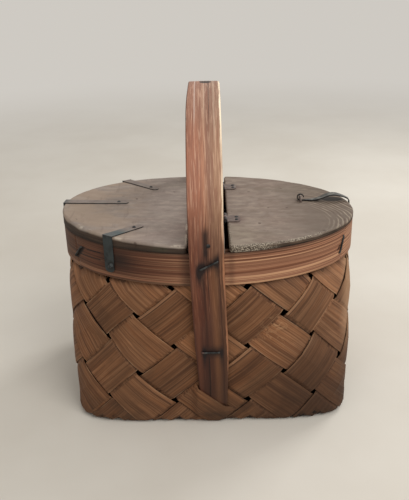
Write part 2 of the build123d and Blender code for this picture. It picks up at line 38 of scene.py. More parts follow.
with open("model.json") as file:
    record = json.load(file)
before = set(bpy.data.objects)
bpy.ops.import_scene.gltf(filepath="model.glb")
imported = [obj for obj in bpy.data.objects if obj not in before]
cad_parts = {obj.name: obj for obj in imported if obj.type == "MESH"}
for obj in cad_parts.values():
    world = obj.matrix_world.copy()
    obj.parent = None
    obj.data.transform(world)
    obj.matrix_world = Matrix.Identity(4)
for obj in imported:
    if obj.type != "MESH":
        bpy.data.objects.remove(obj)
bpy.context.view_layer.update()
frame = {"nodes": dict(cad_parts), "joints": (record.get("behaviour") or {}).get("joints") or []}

import json
import math

import bpy
import numpy as np
from bpy.props import FloatProperty, FloatVectorProperty, IntProperty, PointerProperty
from mathutils import Matrix, Vector, geometry, noise

MM = 0.001


# ------------------------------------------------------------------ sizes, from the frame where it has them

RIM_LOW, RIM_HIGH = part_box("rim_band_back")
RIM_HALF_LENGTH, RIM_HALF_WIDTH, RIM_TOP = RIM_HIGH
RIM_BOTTOM = RIM_LOW.z
RIM_HEIGHT = RIM_TOP - RIM_BOTTOM
RIM_THICKNESS = 4.0 * MM
LEFT_JOINT_SETBACK = 69.0 * MM
RIGHT_JOINT_SETBACK = 65.0 * MM
RIM_SPLIT_LEVEL = 0.2165
GROOVE_HALF_WIDTH = 0.9 * MM
RIGHT_SLANT = 0.030
LEFT_SLANT = -0.012
HANDLE_LOW, HANDLE_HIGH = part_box("handle_hoop")
FOOT_BOTTOM = HANDLE_LOW.z
HANDLE_OUTER = HANDLE_HIGH.y
HANDLE_WIDTH = 40.5 * MM
HANDLE_THICKNESS = 7.0 * MM
ARCH_BASE = HANDLE_HIGH.z - HANDLE_OUTER
TAPER_TOP = 117.0 * MM
FOOT_HALF_WIDTH = 17.0 * MM
FOOT_THICKNESS = 3.2 * MM
FOOT_OUTER = 132.4 * MM
CREST_LEVEL = 409.8 * MM
CREST_DEPTH = 21.0 * MM
CREST_CUT = 3.4 * MM
CHIP_DEPTH = 0.5 * MM
EDGE_LOSS = 0.1 * MM
FACE_CROWN = 0.35 * MM
LUMP_HEIGHT = 0.22 * MM
LUMP_SINK = 0.25 * MM
LEAN_ROOM = 3 * MM
HOOP_INSET = RIM_THICKNESS + 5.6 * MM
BOARD_INNER = abs(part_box("lid_left")[1].x)
BOARD_OUTER = abs(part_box("lid_left")[0].x)
FIXED_BOARD = {"side": -1, "inner_thick": 9.5 * MM, "outer_thick": 16.0 * MM, "radius": 2.6 * MM}
HINGED_BOARD = {"side": 1, "inner_thick": 8.5 * MM, "outer_thick": 6.0 * MM, "radius": 2.2 * MM}
LEFT_TOP = RIM_TOP + FIXED_BOARD["inner_thick"]
LEFT_SLOPE = (FIXED_BOARD["outer_thick"] - FIXED_BOARD["inner_thick"]) / (BOARD_OUTER - BOARD_INNER)
STRAP_THICKNESS = 1.3 * MM
HASP_AXIS = Vector(frame["joints"][1]["pos_m"])
HASP_LOW, HASP_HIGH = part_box("hasp")
HASP_THICKNESS = 1.4 * MM

# the woven wall's outer face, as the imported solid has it
NECK_HALF_LENGTH = RIM_HALF_LENGTH - RIM_THICKNESS - 0.3 * MM
NECK_HALF_WIDTH = RIM_HALF_WIDTH - RIM_THICKNESS - 0.3 * MM
NECK_LEVEL = RIM_BOTTOM - 1.0 * MM
BELLY_LEVEL = 115.0 * MM
BELLY_SWELL_LENGTH = 4.5 * MM
BELLY_SWELL_WIDTH = 3.3 * MM
TURN_LEVEL = 10.0 * MM
TURN_REACH = 7.0 * MM
TURN_LENGTH = (TURN_LEVEL + TURN_REACH) * math.pi / 4
BASE_DRAW_LENGTH = 8.0 * MM
BASE_DRAW_WIDTH = 2.5 * MM
BASE_INSET = 7.5 * MM
BASE_MIDDLE = 4.7 * MM
NECK_SQUARENESS = 2.0
BELLY_SQUARENESS = 2.7
BASE_SQUARENESS = 6.0

# the weave, counted in half columns round the wall from the front and half rows up it
HALF_COLUMNS = 24
BACK_COLUMN = HALF_COLUMNS // 2
SIDE_COLUMN = HALF_COLUMNS // 4
COLUMN_PITCH = 45.3 * MM
CORNER_SQUEEZE = 12.0 * MM
ROW_PITCH = 40.0 * MM
FIRST_ROW = 34.0 * MM
TOP_ROW = (RIM_TOP - 3.0 * MM - FIRST_ROW) / ROW_PITCH
END_ROW = -1.27
CORNER_RISE = 7.0 * MM
CORNER_START = 1.2
CORNER_REACH = 4.8
CORNER_FADE = (2.2, 4.0)
FALLING_NARROWS = 0.062
RISING_WIDENS = 0.072
STRAY = 0.012
WAVER = 0.006
STRIP_PITCH = 60.0 * MM
FLOOR_GAP = 0.05 * MM
FLOOR_EASE = 0.15 * MM
FALLING_RISE = 0.6 * MM
RIM_COVER = (186.0 * MM, 199.0 * MM)
CELLS = 64
DIP_START = 0.012
DIP_END = 0.028
EDGE_TAPER = 0.35
SHARP_ANGLE = 0.6

# lights, camera and what lies behind
STAGE_REACH = 14.0
BACKGROUND = (0.62, 0.59, 0.545, 1.0)
SKY_COLOUR = (1.0, 0.985, 0.96, 1.0)
KEY_PLACE, KEY_WIDTH = (0.95, -1.15, 1.65), 1.3
EDGE_PLACE, EDGE_WIDTH = (0.95, 0.85, 1.15), 0.5
CAMERA_PLACE = Vector((0.0040, -0.8113, 0.547))
CAMERA_PITCH = 0.418
CAMERA_YAW = -0.0123
CAMERA_ROLL = -0.026
CAMERA_LENS = 47.16
CAMERA_SENSOR = 36.0


def srgb(red, green, blue):
    """A linear colour from display values between 0 and 255."""
    return tuple(((v / 255 + 0.055) / 1.055) ** 2.4 if v > 10 else v / 255 / 12.92
                 for v in (red, green, blue))


def smooth(x, low, high):
    """0 below low, 1 above high, and an even step between them."""
    t = np.clip((np.asarray(x, float) - low) / (high - low), 0, 1)
    return t * t * (3 - 2 * t)


# ------------------------------------------------------------------ node trees

def arithmetic(operation, reflected=False):
    """A method of Wire that adds one Math node."""
    def method(self, other):
        return self.sheet.math(operation, *((other, self) if reflected else (self, other)))
    return method


class Wire:
    """A socket of a node tree that takes part in arithmetic through Math nodes."""
    __add__ = __radd__ = arithmetic("ADD")
    __sub__, __rsub__ = arithmetic("SUBTRACT"), arithmetic("SUBTRACT", True)
    __mul__ = __rmul__ = arithmetic("MULTIPLY")
    __truediv__, __rtruediv__ = arithmetic("DIVIDE"), arithmetic("DIVIDE", True)
    __pow__, __rpow__ = arithmetic("POWER"), arithmetic("POWER", True)

    def __init__(self, sheet, socket):
        self.sheet = sheet
        self.socket = socket

    def math(self, operation, *others):
        return self.sheet.math(operation, self, *others)

    def clamped(self):
        return self.sheet.add("ShaderNodeClamp", {}, {"Value": self})


def step(value, low, high):
    """0 below low and 1 above high, smoothly; low may be above high."""
    return value.sheet.add("ShaderNodeMapRange", {"interpolation_type": "SMOOTHSTEP"},
                           {"Value": value, "From Min": low, "From Max": high})


def near(value, middle, reach):
    """1 where the value is at middle, falling to 0 at reach from it."""
    return step((value - middle).math("ABSOLUTE"), reach, 0.0)


class Sheet:
    """Adds nodes to a tree and hands back their outputs as wires."""

    def __init__(self, tree):
        self.tree = tree

    def add(self, kind, settings, inputs, output=0):
        node = self.tree.nodes.new(kind)
        for name, value in settings.items():
            setattr(node, name, value)
        for key, value in inputs.items():
            self.feed(node.inputs[key], value)
        return Wire(self, node.outputs[output])

    def feed(self, socket, value):
        """Gives a socket a wire or a value."""
        if isinstance(value, Wire):
            self.tree.links.new(value.socket, socket)
        else:
            socket.default_value = value

    def math(self, operation, *values):
        return self.add("ShaderNodeMath", {"operation": operation}, dict(enumerate(values)))

    def vector(self, value):
        """A wire, or one joined from three numbers or wires."""
        if isinstance(value, Wire):
            return value
        return self.add("ShaderNodeCombineXYZ", {}, dict(enumerate(value)))

    def length(self, value):
        return self.add("ShaderNodeVectorMath", {"operation": "LENGTH"}, {0: self.vector(value)}, "Value")

    def parts(self, vector):
        """The three numbers of a vector."""
        return [self.add("ShaderNodeSeparateXYZ", {}, {0: vector}, output) for output in range(3)]

    def mix(self, share, first, second, blend="MIX"):
        """A colour mix; colours are wires or display values."""
        first, second = [c if isinstance(c, Wire) else (*srgb(*c), 1.0) for c in (first, second)]
        return self.add("ShaderNodeMix", {"data_type": "RGBA", "blend_type": blend},
                        {0: share, 6: first, 7: second}, 2)

    def noise(self, vector, detail=3.0, roughness=0.55, distortion=0.0):
        return self.add("ShaderNodeTexNoise", {},
                        {"Vector": self.vector(vector), "Scale": 1.0, "Detail": detail,
                         "Roughness": roughness, "Distortion": distortion})


class Finish(Sheet):
    """A material whose surface is one Principled shader, coloured coat by coat."""

    def __init__(self, name, metallic=0.0, specular=0.4):
        self.material = bpy.data.materials.new(name)
        self.material.use_nodes = True
        super().__init__(self.material.node_tree)
        self.tree.nodes.clear()
        self.shader = self.tree.nodes.new("ShaderNodeBsdfPrincipled")
        self.shader.inputs["Metallic"].default_value = metallic
        self.shader.inputs["Specular IOR Level"].default_value = specular
        self.output = self.tree.nodes.new("ShaderNodeOutputMaterial")
        self.tree.links.new(self.shader.outputs[0], self.output.inputs[0])
        self.place = self.add("ShaderNodeTexCoord", {}, {}, "Object")
        self.colour = None

    def coat(self, mask, paint, blend="MIX"):
        """Lays a colour over what is there, where the mask is above 0."""
        self.colour = self.mix(mask, self.colour, paint, blend)

    def coats(self, *rows):
        """Coats given as a value, where its mask is 0 and where 1, the mask's share and the colour."""
        for value, low, high, share, paint in rows:
            self.coat(step(value, low, high) * share, paint)

    def surface(self, roughness, height=None, relief=0.0002, strength=0.6):
        """Feeds the shader; relief is the height of the bumps in metres."""
        self.feed(self.shader.inputs["Base Color"], self.colour)
        self.feed(self.shader.inputs["Roughness"], roughness)
        if height is not None:
            bump = self.add("ShaderNodeBump", {},
                            {"Strength": strength, "Distance": relief, "Height": height})
            self.feed(self.shader.inputs["Normal"], bump)
        return self.material

    def spots(self, scale, detail, move=(0.0, 0.0, 0.0), roughness=0.55):
        """Noise over the piece's own place, with one scale or one for each axis."""
        scale = scale if isinstance(scale, tuple) else (scale,) * 3
        place = self.add("ShaderNodeMapping", {}, {"Vector": self.place, "Scale": scale, "Location": move})
        return self.noise(place, detail, roughness)

    def attribute(self, name):
        """The three numbers of a piece's own attribute."""
        return self.parts(self.add("ShaderNodeAttribute", {"attribute_name": name}, {}, "Vector"))


# ------------------------------------------------------------------ finishes

def splint_finish(settings):
    """Weathered splints: growth lines along the strip, dirt and painted shade where it dips under a
    neighbour.
    """
    f = Finish("splint_wood", specular=0.24)
    along, across, seed = f.attribute("run")
    # wear holds dirt and painted shade where the splint tucks under, each crossing's tone and how near the
    # edge it is
    tuck, tone, edge = f.attribute("wear")
    x, y, z = f.parts(f.place)
    crossing = along / STRIP_PITCH
    cell = crossing.math("ROUND")
    away = (crossing - cell).math("ABSOLUTE")
    seed = seed + cell * 0.37
    # growth lines and streaks, which differ from one crossing to the next
    drift = f.noise((along * 6, across * 18, seed * 3.1), 2)
    fine = f.noise((along * 12, across * 700, seed * 7.3), 3)
    streaks = f.noise((along * 5, across * 120, seed * 5.7), 4, roughness=0.6)
    stripes = f.noise((along * 3, across * 300 + drift * 3, seed * 2.3), 2)
    broad = f.noise((along * 3, across * 60, seed * 4.1), 2)
    rings = ((across * 900 + drift * 16 + seed * 9).math("SINE") * 0.5 + 0.5) ** 3
    lined = step(f.noise((cell * 2.9, seed * 3.3, 0)), 0.47, 0.62)
    striped = step(f.noise((seed * 2.1, cell * 4.3, 2)), 0.4, 0.58)
    # the grain
    f.colour = f.mix(step(streaks, 0.32, 0.7), settings.dark, settings.light)
    f.coats((broad, 0.4, 0.64, 0.6, settings.warm),
            (stripes, 0.52, 0.68, striped * 0.55, (70, 43, 29)),
            (stripes, 0.46, 0.32, striped * 0.35, (152, 110, 80)))
    f.coat(rings * lined * 0.34, (72, 44, 29))
    f.coats((fine, 0.55, 0.78, 0.22, (66, 42, 28)))
    hair = f.noise((along * 8, across * 620 + drift * 2, seed * 9.1), 2)
    f.coats((hair, 0.53, 0.62, 0.46, (70, 44, 29)),
            (hair, 0.46, 0.38, 0.34, (158, 118, 86)))
    # dull patches, and curly figure on one part of the front
    patch = f.spots(14, 4)
    f.coats((patch, 0.42, 0.66, 0.42, settings.grime))
    curls = f.noise((along * 34, across * 44, seed), 2, distortion=1.6)
    curly = near(x, 0.082, 0.035) * near(z, 0.137, 0.035) * step(y, 0, -0.05)
    f.coat(near(curls, 0.55, 0.03) * curly * 0.6, (158, 122, 88))
    # the tone of each crossing, and splits along some of them
    shade = f.add("ShaderNodeCombineColor", {}, {0: tone, 1: tone, 2: tone})
    f.coat(1, shade, "MULTIPLY")
    halved = step(f.noise((cell * 5.1, seed * 1.7, 4)), 0.54, 0.57)
    crack = across + drift * 0.003
    outside = step(crack, 0.0236, 0.0243) * halved
    f.coat(outside * (0.12 + step(streaks, 0.35, 0.6) * 0.25), (166, 124, 92))
    f.coat(near(crack, 0.0237, 0.0009) * halved * 0.75, (34, 20, 14))
    # painted light towards the right, and pale worn edges
    f.coat(step(x, 0.162, 0.178) * step(z, 0.06, 0.12) * step(y, 0.04, -0.02) * 0.62, (172, 134, 100))
    right = step(x, 0.05, 0.18) * step(z, 0.05, 0.15)
    f.coat(right * 0.22 * step(streaks, 0.35, 0.6), (150, 116, 90))
    f.coat(step(edge, 0.55, 1) * step(f.noise((along * 22, seed, 0)), 0.46, 0.6) * 0.5, (172, 138, 106))
    # dirt and painted shade near the floor, low on the right and where it dips under a neighbour
    f.coats((away, 0.4, 0.5, 0.07, (48, 31, 22)))
    low = step(z, 0.075, 0)
    f.coat(low * (0.3 + step(patch, 0.4, 0.6) * 0.3), (46, 34, 25))
    f.coat(step(x, 0.03, 0.1) * step(z, 0.135, 0.055) * step(y, 0.06, -0.02) * 0.68, (54, 35, 23))
    f.coat(tuck * 0.9, (20, 12, 9))
    f.coat(knot(f, (0.155, -0.108, 0.14), 0.012), (40, 27, 22))
    rough = 0.62 + fine * 0.2
    return f.surface(rough, fine * 0.35 + streaks * 0.6 + rings * 0.2, 0.0005, 0.8)


def knot(f, middle, reach):
    """A dark knot and the grain round it."""
    away = f.add("ShaderNodeVectorMath", {"operation": "DISTANCE"}, {0: f.place, 1: middle}, "Value")
    wobble = f.spots(80, 2) * reach
    return (step(away + wobble * 0.5, reach, reach * 0.3) * 0.85).clamped()


def band_finish(settings):
    """Rim strips: straight fine grain, darker at the left end, lit and worn at the right."""
    f = Finish("band_wood", specular=0.22)
    along, up, seed = f.attribute("run")
    x, y, z = f.parts(f.place)
    drift = f.noise((along * 5, up * 30, seed), 2)
    lines = f.noise((along * 3.5 + drift * 0.5, up * 520, seed * 2), 4, roughness=0.65)
    bands = f.noise((along * 1.6, up * 130, seed * 3), 2)
    seams = f.noise((along * 1.1, up * 300, seed * 5), 1)
    f.colour = f.mix(step(lines, 0.3, 0.7), settings.dark, settings.light)
    f.coats((bands, 0.45, 0.65, 0.5, settings.warm))
    threads = f.noise((along * 2.4, up * 640 + drift * 2, seed * 4), 2)
    f.coats((threads, 0.54, 0.62, 0.66, (204, 160, 122)),
            (threads, 0.46, 0.38, 0.6, (86, 48, 32)),
            (lines, 0.62, 0.74, 0.45, (186, 146, 116)),
            (lines, 0.36, 0.27, 0.7, (58, 32, 20)))
    shade = step(x, 0.02, -0.09) * (0.7 + step(bands, 0.35, 0.65) * 0.22)
    shade = shade * (1 - step(z, RIM_BOTTOM + 0.011, RIM_BOTTOM + 0.004) * 0.55)
    f.coat(shade, f.mix(step(lines, 0.35, 0.65), (48, 24, 15), (84, 45, 29)))
    f.coat(step(seams, 0.6, 0.66) * step(x, 0, -0.03) * 0.6, (34, 20, 15))
    f.coats((x, -0.125, -0.175, 0.3, (88, 66, 48)))
    f.coat(near(x, -0.108, 0.036) * near(z, 0.224, 0.026) * step(y, 0, -0.05) * 0.9, (36, 26, 22))
    grime = near(x, -0.026, 0.012).math("MAXIMUM", near(x, 0.026, 0.007) * 0.6)
    f.coat(grime * step(y, 0, -0.1) * 0.55, (50, 28, 20))
    # painted shade along the top of the strips, under the lid boards
    f.coats((z, RIM_TOP - 0.006, RIM_TOP, 0.6, (48, 30, 22)))
    lap = lap_lines(x, y, z)
    f.coat(lap, (20, 13, 10))
    return f.surface(0.55 + lines * 0.15, lines * 0.6 + bands * 0.4 - lap, 0.0005, 0.8)


def lap_lines(x, y, z):
    """The dark cuts round the tongue that locks the left end of the rim, and the staple's slot."""
    front = step(y, 0, -0.02)
    upper = near(z - (x + 0.1465) * 0.067, 0.2274, 0.0012)
    upper = upper * step(x, -0.15, -0.1465) * step(x, -0.128, -0.13)
    lower = near(z - (x + 0.1586) * 0.035, 0.218, 0.0012)
    lower = lower * step(x, -0.161, -0.158) * step(x, -0.129, -0.131)
    slot = near(x - (z - 0.2196) * 0.66, -0.1588, 0.0042) * step(z, 0.2085, 0.211) * step(z, 0.23, 0.2275)
    hook = near(x - (z - 0.2174) * 0.55, 0.1615, 0.0022) * step(z, 0.213, 0.2145) * step(z, 0.2205, 0.219)
    return ((upper + lower + slot + hook) * front).clamped()


def handle_finish(settings):
    """Hand-worn bentwood: pink-tan fibres above, red-brown below, stained round the iron."""
    f = Finish("handle_wood", specular=0.28)
    along, across, depth = f.attribute("run")
    x, y, z = f.parts(f.place)
    # fibres that follow the bend
    wander = f.noise((along * 4, across * 12, depth * 20), 2)
    fibre = f.noise((along * 15, across * 860 + wander * 2.5, depth * 500), 4, roughness=0.7)
    bands = f.noise((along * 2.6, across * 210 + wander, depth * 260), 3)
    short = f.noise((along * 30, across * 640 + wander * 6, depth * 300), 3)
    dull = f.noise((along * 14, across * 60, depth * 90), 3)
    # pink-tan above and red-brown below, browner on the right half
    height = step(z, 0.225, 0.335)
    left = f.mix(height, (108, 56, 36), (186, 122, 94))
    right = f.mix(height, (102, 68, 46), (172, 133, 105))
    side = step(across + wander * 0.012, -0.004, 0.016)
    f.colour = f.mix(side, left, right)
    f.coats((z, 0.355, 0.4, 0.6, (146, 118, 102)))
    f.coat(near(across, 0.0055, 0.0065) * step(z, 0.27, 0.33) * 0.45, (132, 98, 84))
    f.coats((bands, 0.44, 0.62, 0.5, f.mix(height, (88, 48, 34), (138, 98, 80))),
            (bands, 0.42, 0.28, 0.4, f.mix(height, (150, 100, 74), (206, 166, 138))),
            (fibre, 0.45, 0.25, 0.65, settings.dark),
            (fibre, 0.6, 0.78, 0.45, settings.light),
            (short, 0.52, 0.62, 0.62, f.mix(height, (84, 48, 35), (142, 96, 78))),
            (short, 0.46, 0.37, 0.46, f.mix(height, (160, 112, 84), (214, 174, 148))),
            (dull, 0.48, 0.66, 0.22, (116, 84, 70)))
    # the dark foot, the lines of the crown and the paler streaks of the lower leg
    f.coats((z, 0.235, 0.1, 0.82, f.mix(side, (54, 24, 14), (68, 40, 24))))
    bent = across + wander * 0.0016
    f.coat(near(bent - 0.0005, 0.0066, 0.0007) * step(z, 0.375, 0.392) * 0.8, (62, 44, 38))
    f.coat(near(bent, 0.0016, 0.0008) * step(z, 0.38, 0.397) * 0.5, (216, 190, 166))
    f.coat(near(z, 0.3835, 0.0024) * step(across, -0.018, -0.02) * 0.8, (52, 36, 30))
    lower = step(z, 0.245, 0.205)
    drawn = across + wander * 0.003 - 0.0015
    f.coat(near(drawn, 0.0062, 0.0062) * lower * 0.42, (128, 84, 54))
    f.coat(near(drawn, -0.015, 0.005) * lower * 0.34, (124, 74, 50))
    f.coat((near(drawn, -0.0048, 0.003) + near(drawn, 0.0134, 0.0016)) * lower * 0.62, (46, 22, 15))
    f.coats((z, 0.11, 0.03, 0.45, (54, 34, 23)))
    # stains with painted shadow round the staples, a groove, a crack and pale streaks near the crown
    f.coat(iron_stains_and_shadow(across, z, wander, bands) * step(y, 0, -0.02), (25, 16, 16))
    groove = near(drawn, 0.0005, 0.0009) * step(z, 0.3, 0.255) * step(z, 0.165, 0.2)
    f.coat(groove * 0.7, (38, 22, 17))
    crack = near(across + wander * 0.002, -0.0027, 0.0009) * step(z, 0.108, 0.103)
    f.coat(crack * 0.9, (20, 12, 10))
    streaked = across + wander * 0.001
    f.coat(near(streaked, -0.0095, 0.0013) * step(z, 0.372, 0.392) * 0.55, (222, 200, 186))
    f.coat(near(streaked, 0.0125, 0.002) * step(z, 0.35, 0.38) * 0.35, (206, 182, 158))
    # the right arris, pale from wear and painted highlight, the left arris in painted shade, and the dark
    # spot on top of the crown
    wave = f.noise((along * 34, 0, 1), 3) * 0.0044 - 0.0007
    arris = step(across + wave, 0.0192, 0.0202) * step(depth, 0.0012, 0.0021)
    rubbed = step(f.noise((along * 17, 5, 2), 2), 0.36, 0.56) * 0.6 + 0.4
    f.coat(arris * rubbed * (0.55 + height * 0.4), f.mix(height, (186, 128, 92), (244, 224, 194)))
    f.coat(step(across - wave, -0.02, -0.021) * 0.5, (96, 62, 50))
    hollow = f.length((x * 1.25, (y - 0.006) * 0.9, 0))
    f.coat(step(hollow, 0.01, 0.0085) * step(z, 0.38, 0.39) * 0.9, (40, 33, 30))
    relief = fibre * 0.6 + bands * 0.5 - groove * 0.6 - crack
    return f.surface(0.46 + fibre * 0.2, relief, 0.0005, 0.8)


def iron_stains_and_shadow(across, z, wander, bands):
    """Where the nail and the two staples have blackened the wood and run down the grain, with painted shadow
    round and below the staples.
    """
    rough = wander * 0.006 - 0.003
    nail = near(across + rough, -0.0004, 0.006) * step(z, 0.279, 0.266) * step(z, 0.23, 0.244)
    trail = near(across + rough, -0.0046, 0.005) * step(z, 0.245, 0.23) * step(z, 0.15, 0.215)
    inside = step((across - 0.001).math("ABSOLUTE"), 0.015, 0.011)
    slope = z - across * 0.535
    upper = near(slope, 0.2275, 0.012) * inside
    ends = (near(across, -0.0098, 0.0062) * 1.2 + near(across, 0.0115, 0.005)) * near(slope, 0.2215, 0.023)
    lower = near(z, 0.113, 0.0135) * inside
    drips = (near(across, -0.0095, 0.0045) + near(across, 0.0112, 0.0045)) * near(z, 0.104, 0.023)
    streaked = 0.6 + step(bands, 0.35, 0.6) * 0.4
    marks = nail * 1.1 + trail * 0.55 + upper * 0.95 + ends * 0.8 + lower * 0.9 + drips * 0.75
    return (marks * streaked).clamped() * 0.94


def board_finish(settings):
    """Weathered board: soft grey-brown, dark sides, pale chips along the worn arris."""
    f = Finish("lid_wood", specular=0.22)
    x, y, _ = f.parts(f.place)
    _, rise, under = f.attribute("run")
    # grain, pores and blotches
    drift = f.spots((6, 18, 6), 3)
    grain = f.spots((11, 80, 60), 5, roughness=0.62)
    pores = f.spots((50, 700, 200), 2)
    blotch = f.spots((16, 24, 8), 4, (2, 0, 0))
    bloom = f.spots((22, 40, 8), 3, (0, 5, 0))
    f.colour = f.mix(step(grain, 0.2, 0.8), settings.dark, settings.light)
    f.coats((blotch, 0.42, 0.64, 0.55, settings.warm),
            (bloom, 0.5, 0.68, 0.4, (146, 132, 120)),
            (drift, 0.52, 0.66, 0.35, (118, 110, 96)),
            (pores, 0.62, 0.75, 0.18, (84, 72, 63)))
    f.coat(near(drift, 0.5, 0.012) * 0.1, (92, 76, 66))
    flecks = f.spots((62, 105, 60), 4, (3, 7, 0))
    f.coats((flecks, 0.52, 0.62, 0.42, (108, 93, 83)),
            (flecks, 0.47, 0.37, 0.36, (170, 154, 139)))
    # growth rings at the right, and how the tone changes along the lid
    away = f.length((x - 0.085, y + 0.05, 0))
    turn_round = (y + 0.05).math("ARCTAN2", x - 0.085)
    fade = f.noise((turn_round * 2.6, away * 160, 3), 2)
    rings = ((away + drift * 0.012 + fade * 0.004) * 1150).math("SINE") * 0.5 + 0.5
    ringed = step(away, 0.055, 0.085) * step(x, 0.11, 0.145) * step(fade, 0.4, 0.58)
    f.coats((x, 0.06, 0.16, 0.82, (92, 83, 75)),
            (x, 0, 0.03, 0.24, (118, 96, 74)),
            (x, 0, -0.05, 0.25, (160, 147, 137)))
    f.coat(step(x, -0.06, -0.13) * step(blotch + bloom * 0.5, 0.6, 0.85) * 0.6, (158, 138, 118))
    cross = f.spots((130, 22, 8), 3, (4, 2, 0))
    f.coat(step(cross, 0.55, 0.7) * step(x, -0.04, -0.08) * 0.3, (112, 96, 86))
    f.coat(ringed * rings ** 4 * 0.55, (178, 162, 140))
    f.coat(ringed * (1 - rings) ** 3 * 0.58, (84, 62, 50))
    # painted shadow under the hasp's bow, pale at the corner, rust round the iron
    bow = f.length(((x - 0.1675) * 0.6, y - 0.0268, 0))
    f.coat(step(bow + blotch * 0.004 - 0.002, 0.0108, 0.0078) * 0.82, (24, 20, 18))
    corner = near(x, 0.04, 0.05) * step(y, -0.035, -0.085)
    f.coat(corner * step(bloom, 0.38, 0.6) * 0.4, (168, 156, 136))
    f.coat(rust_marks(f, x, y) * 0.55, (92, 66, 60))
    f.coat(step(x.math("ABSOLUTE"), 0.05, 0.024) * step(blotch, 0.35, 0.65) * 0.35, (92, 76, 68))
    # specks, and chips along the worn arris
    specks = f.spots(90, 1, (7, 1, 0))
    f.coats((specks, 0.74, 0.78, 0.6, (70, 54, 48)))
    speckle = f.spots(760, 1)
    chips = f.spots(60, 3, (1, 4, 0))
    arris = near(rise, 0.98, 0.24)
    left_front = step(x, -0.02, -0.03) * step(y, -0.04, -0.06)
    ragged = near(x, -0.123, 0.02).math("MAXIMUM", step(x, -0.06, -0.035)) * left_front
    worn = arris * step(chips + left_front * 0.04 + ragged * 0.14, 0.6, 0.68)
    f.coat(worn * 0.75, (188, 175, 158))
    # the dark sides, mossy in one place, with painted shade along their lower part where they sit on the rim
    ends = f.spots((30, 30, 420), 3)
    dark = f.mix(step(ends, 0.35, 0.65), (38, 29, 22), (84, 66, 52))
    dark = f.mix(step(x, 0, -0.02) * 0.6, dark, (44, 32, 25))
    mossy = near(x, -0.052, 0.022) * step(blotch, 0.35, 0.5) * step(y, -0.04, -0.06)
    dark = f.mix(mossy * 0.4, dark, (58, 62, 44))
    f.coats((rise, 0.9, 0.62, 0.95, dark),
            (rise, 0.4, 0.1, 0.6, (26, 18, 14)))
    # the frayed front edge of the hinged board
    frayed = step(x, 0.018, 0.024) * step(x, 0.165, 0.135) * step(y, -0.035, -0.055)
    light_side = step(x, 0.088, 0.06) * step(rise, 0.04, 0.16)
    inward = step(rise + chips * 0.5, 1.52, 1.3)
    fray = frayed * inward * light_side.math("MAXIMUM", step(rise, 0.72, 0.9) * step(chips, 0.4, 0.52))
    frayed_tone = f.mix(step(speckle, 0.45, 0.6), (72, 62, 54), (172, 160, 142))
    f.coat(fray * 0.75, frayed_tone)
    # the underside
    below = f.mix(step(grain, 0.3, 0.72), (74, 57, 44), (122, 98, 76))
    below = f.mix(step(pores, 0.6, 0.75) * 0.4, below, (58, 43, 33))
    below = f.mix(step(blotch, 0.45, 0.66) * 0.5, below, (92, 76, 62))
    f.coat(step(under, 0.4, 0.9), below)
    relief = grain * 0.4 + pores * 0.2 + drift * 0.6 + bloom * 0.4
    return f.surface(0.68 + grain * 0.12, relief, 0.0006, 0.7)


def rust_marks(f, x, y):
    """Stains in the board round the hinges and the nails of the straps."""
    marks = None
    spots = ((0.034, -0.047, 0.02), (0.033, 0.078, 0.018), (-0.09, -0.078, 0.01),
             (-0.118, 0.012, 0.01), (0.124, 0.02, 0.008))
    for mark_x, mark_y, reach in spots:
        away = f.length((x - mark_x, y - mark_y, 0))
        mark = step(away, reach, reach * 0.2)
        marks = mark if marks is None else marks.math("MAXIMUM", mark)
    return marks * step(f.noise((x * 60, y * 60, 0)), 0.3, 0.6)


def iron_finish(name, dark, pale, rust_share, rusty=(96, 56, 42)):
    """Forged iron gone dark, pitted, with rust in the hollows."""
    f = Finish(name, metallic=0.5, specular=0.5)
    mottle = f.spots(140, 4)
    pits = f.spots(900, 2)
    f.colour = f.mix(step(mottle, 0.35, 0.68), dark, pale)
    rust = f.spots(60, 4, (3, 1, 0))
    rust = step(rust, 0.62 - rust_share * 0.4, 0.78 - rust_share * 0.4)
    f.coat(rust * 0.8, rusty)
    f.feed(f.shader.inputs["Metallic"], 0.5 - rust * 0.4)
    return f.surface(0.48 + mottle * 0.3, mottle * 0.6 + pits * 0.4, 0.0004, 0.8)


def hasp_finish():
    """Thin strip: rubbed grey on its faces, black at its front edge as painted shade on the strip's
    thickness, and black round the rolled eye.
    """
    f = Finish("hasp_iron", metallic=0.3, specular=0.4)
    x, _, z = f.parts(f.place)
    _, _, side = f.attribute("run")
    mottle = f.spots(140, 4)
    f.colour = f.mix(step(mottle, 0.35, 0.68), (74, 72, 68), (122, 119, 112))
    eye = f.length((x - HASP_AXIS.x, 0, z - HASP_AXIS.z))
    # painted shade on the front edge of the strip
    f.coat((step(side, -0.6, -0.85) * 0.92).math("MAXIMUM", step(eye, 0.0085, 0.006) * 0.9), (19, 15, 15))
    return f.surface(0.5 + mottle * 0.3, mottle, 0.0004, 0.8)


